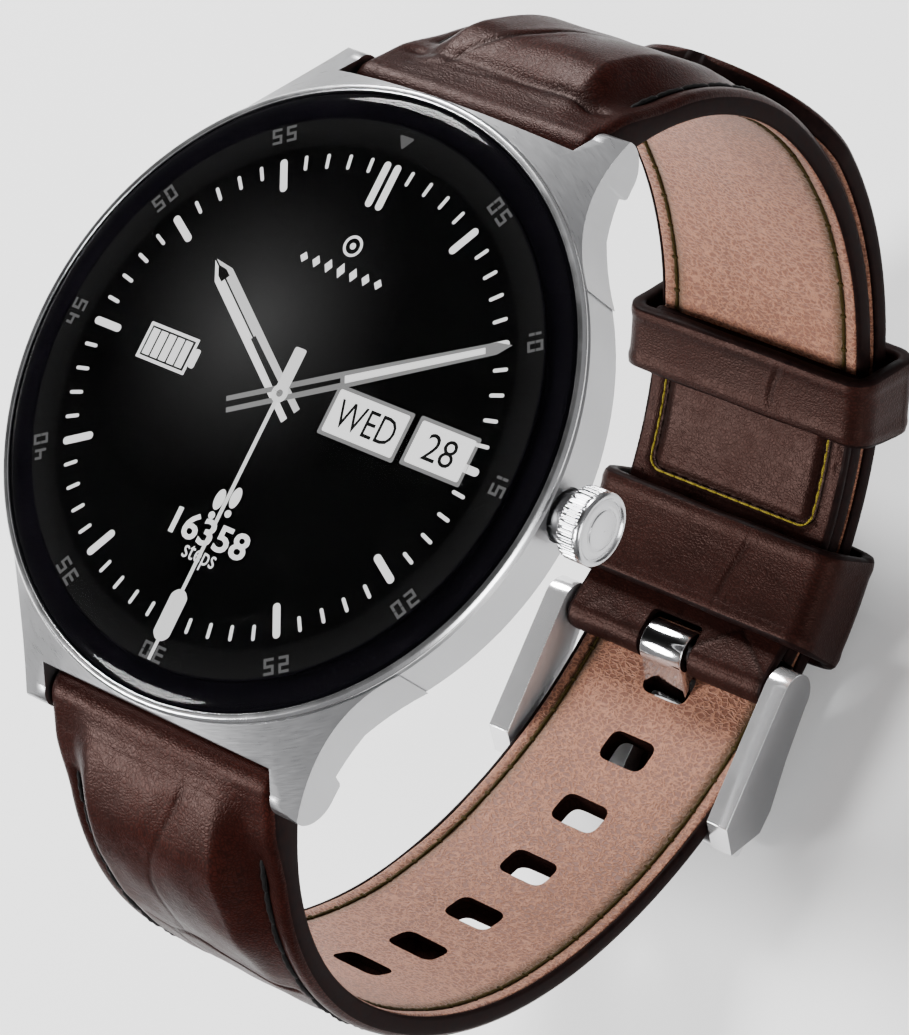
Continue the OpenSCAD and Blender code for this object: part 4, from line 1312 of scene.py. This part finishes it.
def build_crown():
    """Fluted knob with a smooth rim and a plain domed end."""
    x0, end, hub = KNOB_X, KNOB_HIGH.x, KNOB_LOW.x
    r, stem_r, hub_r, flutes = KNOB_HIGH.z - CROWN_Z, 0.62, 1.85, 36
    dome_r, dome_low = r - 0.6, x0 + 1.95
    base = [(hub, stem_r), (hub, hub_r - 0.05), (hub + 0.05, hub_r), (x0, hub_r), (x0, r - 0.3),
            (x0 + 0.05, r - 0.18), (x0 + 0.15, r - 0.05)]
    ribs = [(x, r) for x in np.linspace(x0 + 0.2, x0 + 1.58, 8)]
    rim = [(x0 + x, r - drop) for x, drop in (
        (1.63, 0.03), (1.75, 0), (1.9, 0.03), (2.02, 0.14), (2.07, 0.28), (2.04, 0.38), (1.94, 0.45),
        (1.9, 0.52), (1.93, 0.6))]
    dome = [(end - (end - dome_low) * t**2 - 0.07 * bell(t - 0.74, 0.05), dome_r * t)
            for t in np.linspace(0.96, 0.04, 40)]
    inside = [(end, 0.02), (x0 + 0.8, 0.02), (x0 + 0.8, stem_r)]
    profile = np.array(base + ribs + rim + dome + inside)
    turn = np.linspace(0, 2 * np.pi, flutes * 12, endpoint=False)[:, None]
    x = profile[None, :, 0]
    fluted = smoothstep(x, x0 + 0.12, x0 + 0.28) * smoothstep(-x, -x0 - 1.62, -x0 - 1.52)
    radius = profile[None, :, 1] - 0.15 * fluted * (0.5 - 0.5 * np.tanh(2.2 * np.cos(flutes * turn)))
    rings = np.stack([x + 0 * turn, radius * np.cos(turn), CROWN_Z + radius * np.sin(turn)], -1)
    knob = piece("crown_fluted_knob", *loft(rings, closed=True), [CROWN_STEEL], body="crown",
                 slot="steel_polished", replaces=("crown_knob",))
    smooth_by_angle(knob, 45)


def build_case():
    """The case frame with its edges broken, and its upright walls in a darker copy of its steel, as painted shade.
    """
    mesh = frame["nodes"]["case_frame"].data.copy()
    mesh.name = "case_body"
    case = link("case_body", mesh)
    merge_flat(case, 0.004, 1.0)
    mesh.materials.clear()
    for steel in (CASE_STEEL, SHADED_WALL_STEEL):
        mesh.materials.append(steel)
    bevelled(case, 0.18, 3, 30)
    # Painted shade: faces that stand upright take the darker steel.
    for face in case.data.polygons:
        if abs(face.normal.z) < 0.25:
            face.material_index = 1
    weigh_normals(case)
    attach(case, "watch")
    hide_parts("case_frame")


# ---------- buckle ----------


def side_prism(outline, x_from, x_to):
    """A plate across X over an outline of (y, z) from the buckle's bar."""
    points, faces = prism(outline, x_from, x_to)
    return np.c_[points[:, 2], points[:, 0] + PIVOT_Y, points[:, 1] + PIVOT_Z], faces


def arc_points(y, z, radius, a_from, a_to, count):
    turn = np.radians(np.linspace(a_from, a_to, count))
    return [(y + radius * math.cos(a), z + radius * math.sin(a)) for a in turn]


def bore(radius):
    return arc_points(0, 0, radius, 0, 360, 33)[:-1]


def build_buckle():
    bar_y, bar_z = -BUCKLE_LEN - 0.2, -3.4
    bar = fillet(rectangle(bar_y, bar_y + 2.6, bar_z - 1.1, bar_z + 0.9), 0.7, 5)
    buckle = piece("buckle_arms_and_bar", *side_prism(bar, -ARM_IN - 1, ARM_IN + 1), [BUCKLE_STEEL], body=None,
                   smooth=False)
    arm = arc_points(0, 0, 2.0, 88, -92, 24)
    arm += [(-4.5, -2.9), (-BUCKLE_LEN + 4.4, -4.2), (-BUCKLE_LEN + 2.4, -4.2)]
    arm += [(-BUCKLE_LEN - 0.4, -1.6), (-BUCKLE_LEN + 1.2, 0.9)]
    for s in (-1, 1):
        carve(buckle, *side_prism(arm, s * ARM_IN, s * ARM_OUT), "UNION")
    dip = fillet(rectangle(bar_y - 2, bar_y + 4, bar_z - 2.0, bar_z - 0.85), 0.2, 2)
    carve(buckle, *side_prism(dip, -TONGUE_W / 2 - 0.3, TONGUE_W / 2 + 0.3))
    for s in (-1, 1):
        carve(buckle, *side_prism(bore(0.45), s * (ARM_IN - 1), s * (ARM_IN + 1.5)))
    merge_flat(buckle, 0.002, 0.5)
    bevelled(buckle, 0.4, 4, 35)
    first = len(buckle.data.materials)
    # Painted shade: the arms' outer side faces take a much darker copy of the steel.
    buckle.data.materials.append(satin_steel("buckle_side_painted_shade", (0.27, 0.27, 0.275), 0.36))
    buckle.data.materials.append(satin_steel("buckle_inner_steel", (0.80, 0.80, 0.81), 0.45))
    # Outer side faces get the painted-shade steel, and inner side faces a rougher steel.
    for face in buckle.data.polygons:
        if abs(face.normal.x) > 0.98:
            face.material_index = first if abs(face.center.x) > (ARM_OUT - 0.3) * MM else first + 1
    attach(buckle, "buckle_frame")
    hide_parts("buckle_frame")


def build_tongue():
    """A strip that curls round the bar, then goes out through a hole to the front bar."""
    curl = arc_points(0, 0, 1.95, -50, 170, 26)
    strip = [(-3.4, -1.7), (-3.7, -2.6), (-3.75, -3.6), (-4.15, -4.05), (-6, -4.15), (-BUCKLE_LEN - 0.9, -4.42),
             (-BUCKLE_LEN - 1.3, -4.7), (-BUCKLE_LEN - 1.25, -5.15), (-6, -4.95), (-3.7, -4.92), (-3.05, -4.3),
             (-3.0, -2.8), (-2.62, -1.9), (-2.15, -1.3), (-1.3, -1.38)]
    tongue = piece("tongue_strip", *side_prism(curl + strip, -TONGUE_W / 2, TONGUE_W / 2), [POLISHED],
                   body=None, smooth=False)
    carve(tongue, *side_prism(bore(0.83), -TONGUE_W, TONGUE_W))
    merge_flat(tongue, 0.002, 0.5)
    bevelled(tongue, 0.16, 3, 35)
    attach(tongue, "tongue")
    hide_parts("buckle_tongue")


# ---------- the picture on the dial ----------

PICTURE_Z = PANEL_TOP + 0.002
LAYER = 0.003


def turned(outline, degrees):
    """An outline in dial units, turned clockwise from 12 o'clock."""
    a = math.radians(-degrees)
    outline = np.asarray(outline, float)
    return np.c_[outline[:, 0] * math.cos(a) - outline[:, 1] * math.sin(a),
                 outline[:, 0] * math.sin(a) + outline[:, 1] * math.cos(a)]


def flat_shape(outline, layer, degrees=0.0):
    """A thin plate of the picture, from an outline in dial units, turned clockwise from 12 o'clock."""
    low = PICTURE_Z + layer * LAYER
    return prism((turned(outline, degrees) if degrees else np.asarray(outline)) * DIAL, low, low + 0.8 * LAYER)


def bar_shape(r_from, r_to, width, offset=0.0):
    """A bar with rounded ends, along 12 o'clock."""
    h = width / 2
    turn = np.linspace(0, math.pi, 8)
    top = [(offset + h * math.cos(a), r_to - h + h * math.sin(a)) for a in turn]
    return top + [(offset - h * math.cos(a), r_from + h - h * math.sin(a)) for a in turn]


def box_shape(x_from, x_to, y_from, y_to, corner=0.01):
    return fillet(rectangle(x_from, x_to, y_from, y_to), corner, 3)


def oval(x, y, half_x, half_y, count):
    turn = np.linspace(0, 2 * math.pi, count, endpoint=False)
    return [(x + half_x * math.cos(a), y + half_y * math.sin(a)) for a in turn]


def picture(name, parts, material):
    piece(name, *join(parts), [material], slot="display", smooth=False)


def dial_ticks():
    short, long = bar_shape(0.967, 1.033, 0.0155), bar_shape(0.889, 1.036, 0.034)
    parts = [flat_shape(short if minute % 5 else long, 1, minute * 6) for minute in range(1, 60)]
    parts += [flat_shape(bar_shape(0.83, 1.034, 0.034, side * 0.0268), 1) for side in (-1, 1)]
    picture("dial_ticks", parts, WHITE_LIGHT)


# Strokes of the squared figures: each goes from one grid place (0 to 1, 0 to 2) to another
STROKES = {"a": (0, 2, 1, 2), "b": (1, 1, 1, 2), "c": (1, 0, 1, 1), "d": (0, 0, 1, 0), "e": (0, 0, 0, 1),
           "f": (0, 1, 0, 2), "g": (0, 1, 1, 1)}
FIGURES = {"0": "abcdef", "1": "bc", "2": "abged", "3": "abgcd", "4": "fgbc", "5": "afgcd"}


def figure(character, left, bottom, width, height, stroke):
    """Stencil-like squared figure: its strokes as short bars with small gaps."""
    parts, gap, h = [], 0.12 * height / 4, stroke / 2
    for name in FIGURES[character]:
        x0, y0, x1, y1 = STROKES[name]
        ax, bx = left + width * x0, left + width * x1
        ay, by = bottom + height * y0 / 2, bottom + height * y1 / 2
        if x0 == x1:
            parts.append(rectangle(ax - h, ax + h, ay + gap, by - gap))
        else:
            parts.append(rectangle(ax - h, bx + h, ay - h, ay + h))
    return parts


def dial_numbers():
    parts = []
    width, height, stroke, space = 0.034, 0.058, 0.012, 0.022
    for minute in range(5, 60, 5):
        for character, left in zip(f"{minute:02d}", (-width - space / 2 - stroke / 2, space / 2 + stroke / 2)):
            parts += [flat_shape(outline, 1, minute * 6)
                      for outline in figure(character, left, 1.118, width, height, stroke)]
    mark = fillet([(-0.04, 1.155), (0, 1.095), (0.04, 1.155)], 0.012, 3)
    parts.append(flat_shape(mark[::-1], 1))
    picture("dial_numbers", parts, GREY_LIGHT)


def words(name, text, x, y, height, material, layer, width=None, weight=0.0):
    """Flat text of figures or a day, centred at a place in dial units."""
    curve = bpy.data.curves.new(name, "FONT")
    curve.body = text
    curve.align_x, curve.align_y = "CENTER", "CENTER"
    curve.resolution_u = 3
    curve.extrude = 0.4 * LAYER
    curve.offset = weight
    made = bpy.data.objects.new(name, curve)
    bpy.context.scene.collection.objects.link(made)
    bpy.context.view_layer.update()
    graph = bpy.context.evaluated_depsgraph_get()
    mesh = bpy.data.meshes.new_from_object(made.evaluated_get(graph), depsgraph=graph)
    bpy.data.objects.remove(made)
    points = np.array([v.co for v in mesh.vertices])
    faces = [tuple(p.vertices) for p in mesh.polygons]
    bpy.data.meshes.remove(mesh)
    low, high = points.min(0), points.max(0)
    tall = height / (high[1] - low[1]) * DIAL
    wide = width / (high[0] - low[0]) * DIAL if width else tall
    points[:, 0] = (points[:, 0] - (low[0] + high[0]) / 2) * wide + x * DIAL
    points[:, 1] = (points[:, 1] - (low[1] + high[1]) / 2) * tall + y * DIAL
    points[:, 2] += PICTURE_Z + (layer + 0.4) * LAYER
    made = piece(name, points, faces, [material], slot="display", smooth=False)
    with editing(made.data) as work:
        bmesh.ops.remove_doubles(work, verts=work.verts, dist=0.0005 * MM)


def dial_windows():
    """The day and the date in two lit boxes."""
    boxes, line = [(0.25, 0.645, -0.09, 0.125), (0.675, 0.98, -0.08, 0.13)], 0.016
    picture("dial_box_rims", [flat_shape(box_shape(*box), 1) for box in boxes], MID_LIGHT)
    faces = [flat_shape(box_shape(x0 + line, x1 - line, y0 + line, y1 - line), 2) for x0, x1, y0, y1 in boxes]
    picture("dial_boxes", faces, glow("picture_box", 0.80, 2.0))
    words("dial_day", "WED", 0.4475, 0.0175, 0.115, DARK_LIGHT, 3, 0.30)
    words("dial_date", "28", 0.8275, 0.025, 0.115, DARK_LIGHT, 3, 0.15)


def dial_battery():
    """A battery's outline, its cap and five lit cells, on slightly different heights where they meet."""
    centre, w, h, line, gap = -0.62, 0.27, 0.16, 0.014, 0.008
    left, right, top = centre - w / 2, centre + w / 2, h / 2
    shapes = [box_shape(left, right, top - line, top, 0.004), box_shape(left, right, -top, line - top, 0.004),
              box_shape(left, left + line, -top, top, 0.004), box_shape(right - line, right, -top, top, 0.004),
              box_shape(right, right + 0.03, -0.042, 0.042, 0.012)]
    cell_w = (w - 2 * line - 0.012) / 5
    for k in range(5):
        x = left + line + gap + k * cell_w
        shapes.append(box_shape(x, x + cell_w - gap, line + gap - top, top - line - gap, 0.003))
    plates = [flat_shape(shape, 1 + 0.25 * (k % 4)) for k, shape in enumerate(shapes)]
    picture("dial_battery", plates, WHITE_LIGHT)


def dial_steps():
    """The step count, with a pair of footprints above it."""
    words("dial_step_count", "16358", 0.0, -0.626, 0.115, WHITE_LIGHT, 1, 0.40, 0.022)
    words("dial_steps_label", "steps", 0.0, -0.735, 0.085, WHITE_LIGHT, 1, 0.17)
    parts = []
    for side in (-1, 1):
        x, rise = side * 0.035, side * 0.015
        parts += [flat_shape(oval(x, -0.47 + rise, 0.024, 0.045, 20), 1),
                  flat_shape(oval(x, -0.54 + rise, 0.016, 0.016, 14), 1)]
    picture("dial_footprints", parts, WHITE_LIGHT)


def dial_emblem():
    """A plain ornament: a ring with a dot, over a row of lozenges."""
    y = 0.66
    points, faces = lathe(np.array([(0.034, 0), (0.046, 0), (0.046, 1), (0.034, 1)]), 40)
    ring = np.c_[points[:, 0] * DIAL, (points[:, 1] + y) * DIAL, PICTURE_Z + LAYER + points[:, 2] * 0.8 * LAYER]
    parts = [(ring, faces), flat_shape(oval(0, y, 0.014, 0.014, 16), 1)]
    for k in range(-3, 4):
        tall, x = 0.034 - 0.0035 * abs(k), 0.066 * k
        parts.append(flat_shape([(x + 0.02, 0.55), (x, 0.55 + tall), (x - 0.02, 0.55), (x, 0.55 - tall)], 1))
    picture("dial_emblem", parts, WHITE_LIGHT)


def tapered(half_from, r_from, *rest):
    """A hand's outline out along 12 o'clock, as (half width, radius) pairs. A half width of 0 makes a point."""
    side = [(half_from, r_from), *rest]
    return side + [(-half, r) for half, r in reversed(side) if half]


def forked(half, inner, r_from, waist, r_to):
    """The two legs of a hand's tail, left and right."""
    left = [(-half, r_from), (-inner, r_from), (-waist, r_to), (-half, r_to)]
    return left, [(-x, y) for x, y in left][::-1]


def dial_hands():
    hour, minute, second = 304.5, 60.6, 180.0
    layer, half, slit = 4, 0.047, 0.004
    left = [(-slit, 0.30), (-slit, 0.728), (-half, 0.64), (-half, 0.30)]
    right = [(half, 0.30), (half, 0.64), (slit, 0.728), (slit, 0.30)]
    legs = forked(half, 0.018, -0.12, 0.012, 0.32)
    for name, blade, leg, material in (("hour_hand_light", left, legs[0], WHITE_LIGHT),
                                       ("hour_hand_shade", right, legs[1], SOFT_LIGHT)):
        picture(name, [flat_shape(blade, layer, hour), flat_shape(leg, layer, hour)], material)
    tip = tapered(0.022, 0.62, (0.022, 0.655), (0, 0.70))
    picture("hour_hand_tip", [flat_shape(tip, layer + 1, hour)], DARK_LIGHT)
    edge = [tapered(0.036, 0.28, (0.026, 0.98), (0, 1.05)), *forked(0.036, 0.014, -0.25, 0.010, 0.29)]
    picture("minute_hand_edge", [flat_shape(shape, layer + 2, minute) for shape in edge], MID_LIGHT)
    core = tapered(0.016, 0.30, (0.013, 0.93))
    picture("minute_hand_core", [flat_shape(core, layer + 3, minute)], WHITE_LIGHT)
    rod = tapered(0.010, -0.20, (0.008, 1.18))
    tail = fillet(rectangle(-0.03, 0.03, -0.2, 0.02), 0.012, 3)
    lozenge = fillet([(-0.0425, 0.90), (-0.018, 0.875), (0.018, 0.875), (0.0425, 0.90), (0.0425, 1.07),
                      (0.018, 1.095), (-0.018, 1.095), (-0.0425, 1.07)], 0.01, 2)
    parts = [flat_shape(rod, layer + 4, second), flat_shape(lozenge, layer + 4.2, second),
             flat_shape(tail, layer + 4.4, second), flat_shape(oval(0, 0, 0.04, 0.04, 28), layer + 4.6)]
    picture("second_hand", parts, glow("picture_bright", 0.80, 1.5))
    picture("hands_pin", [flat_shape(oval(0, 0, 0.016, 0.016, 16), layer + 5.6)], MID_LIGHT)


def build_dial():
    for build in (dial_ticks, dial_numbers, dial_windows, dial_battery, dial_steps, dial_emblem, dial_hands):
        build()


# ---------- everything ----------

make_camera()
make_world()
make_floor()
make_cards()
make_light("key", (-0.57, -0.62, 0.55), 0.7, 0.28, 11.0)
make_light("top", (-0.57, 0.71, 0.42), 0.7, 0.28, 11.0)
make_light("side", (0.95, -0.35, 0.35), 0.8, 0.4, 5.0)
finish_nodes()
build_case()
build_bezel()
build_glass()
build_dial()
build_crown()
build_strap()
build_flap()
sew_flap()
build_keeper("fixed_keeper_band", "watch", "fixed_keeper", -88, -73, 31)
build_keeper("free_keeper_band", "free_keeper", "free_keeper", -56.5, -46, 43)
build_buckle()
build_tongue()
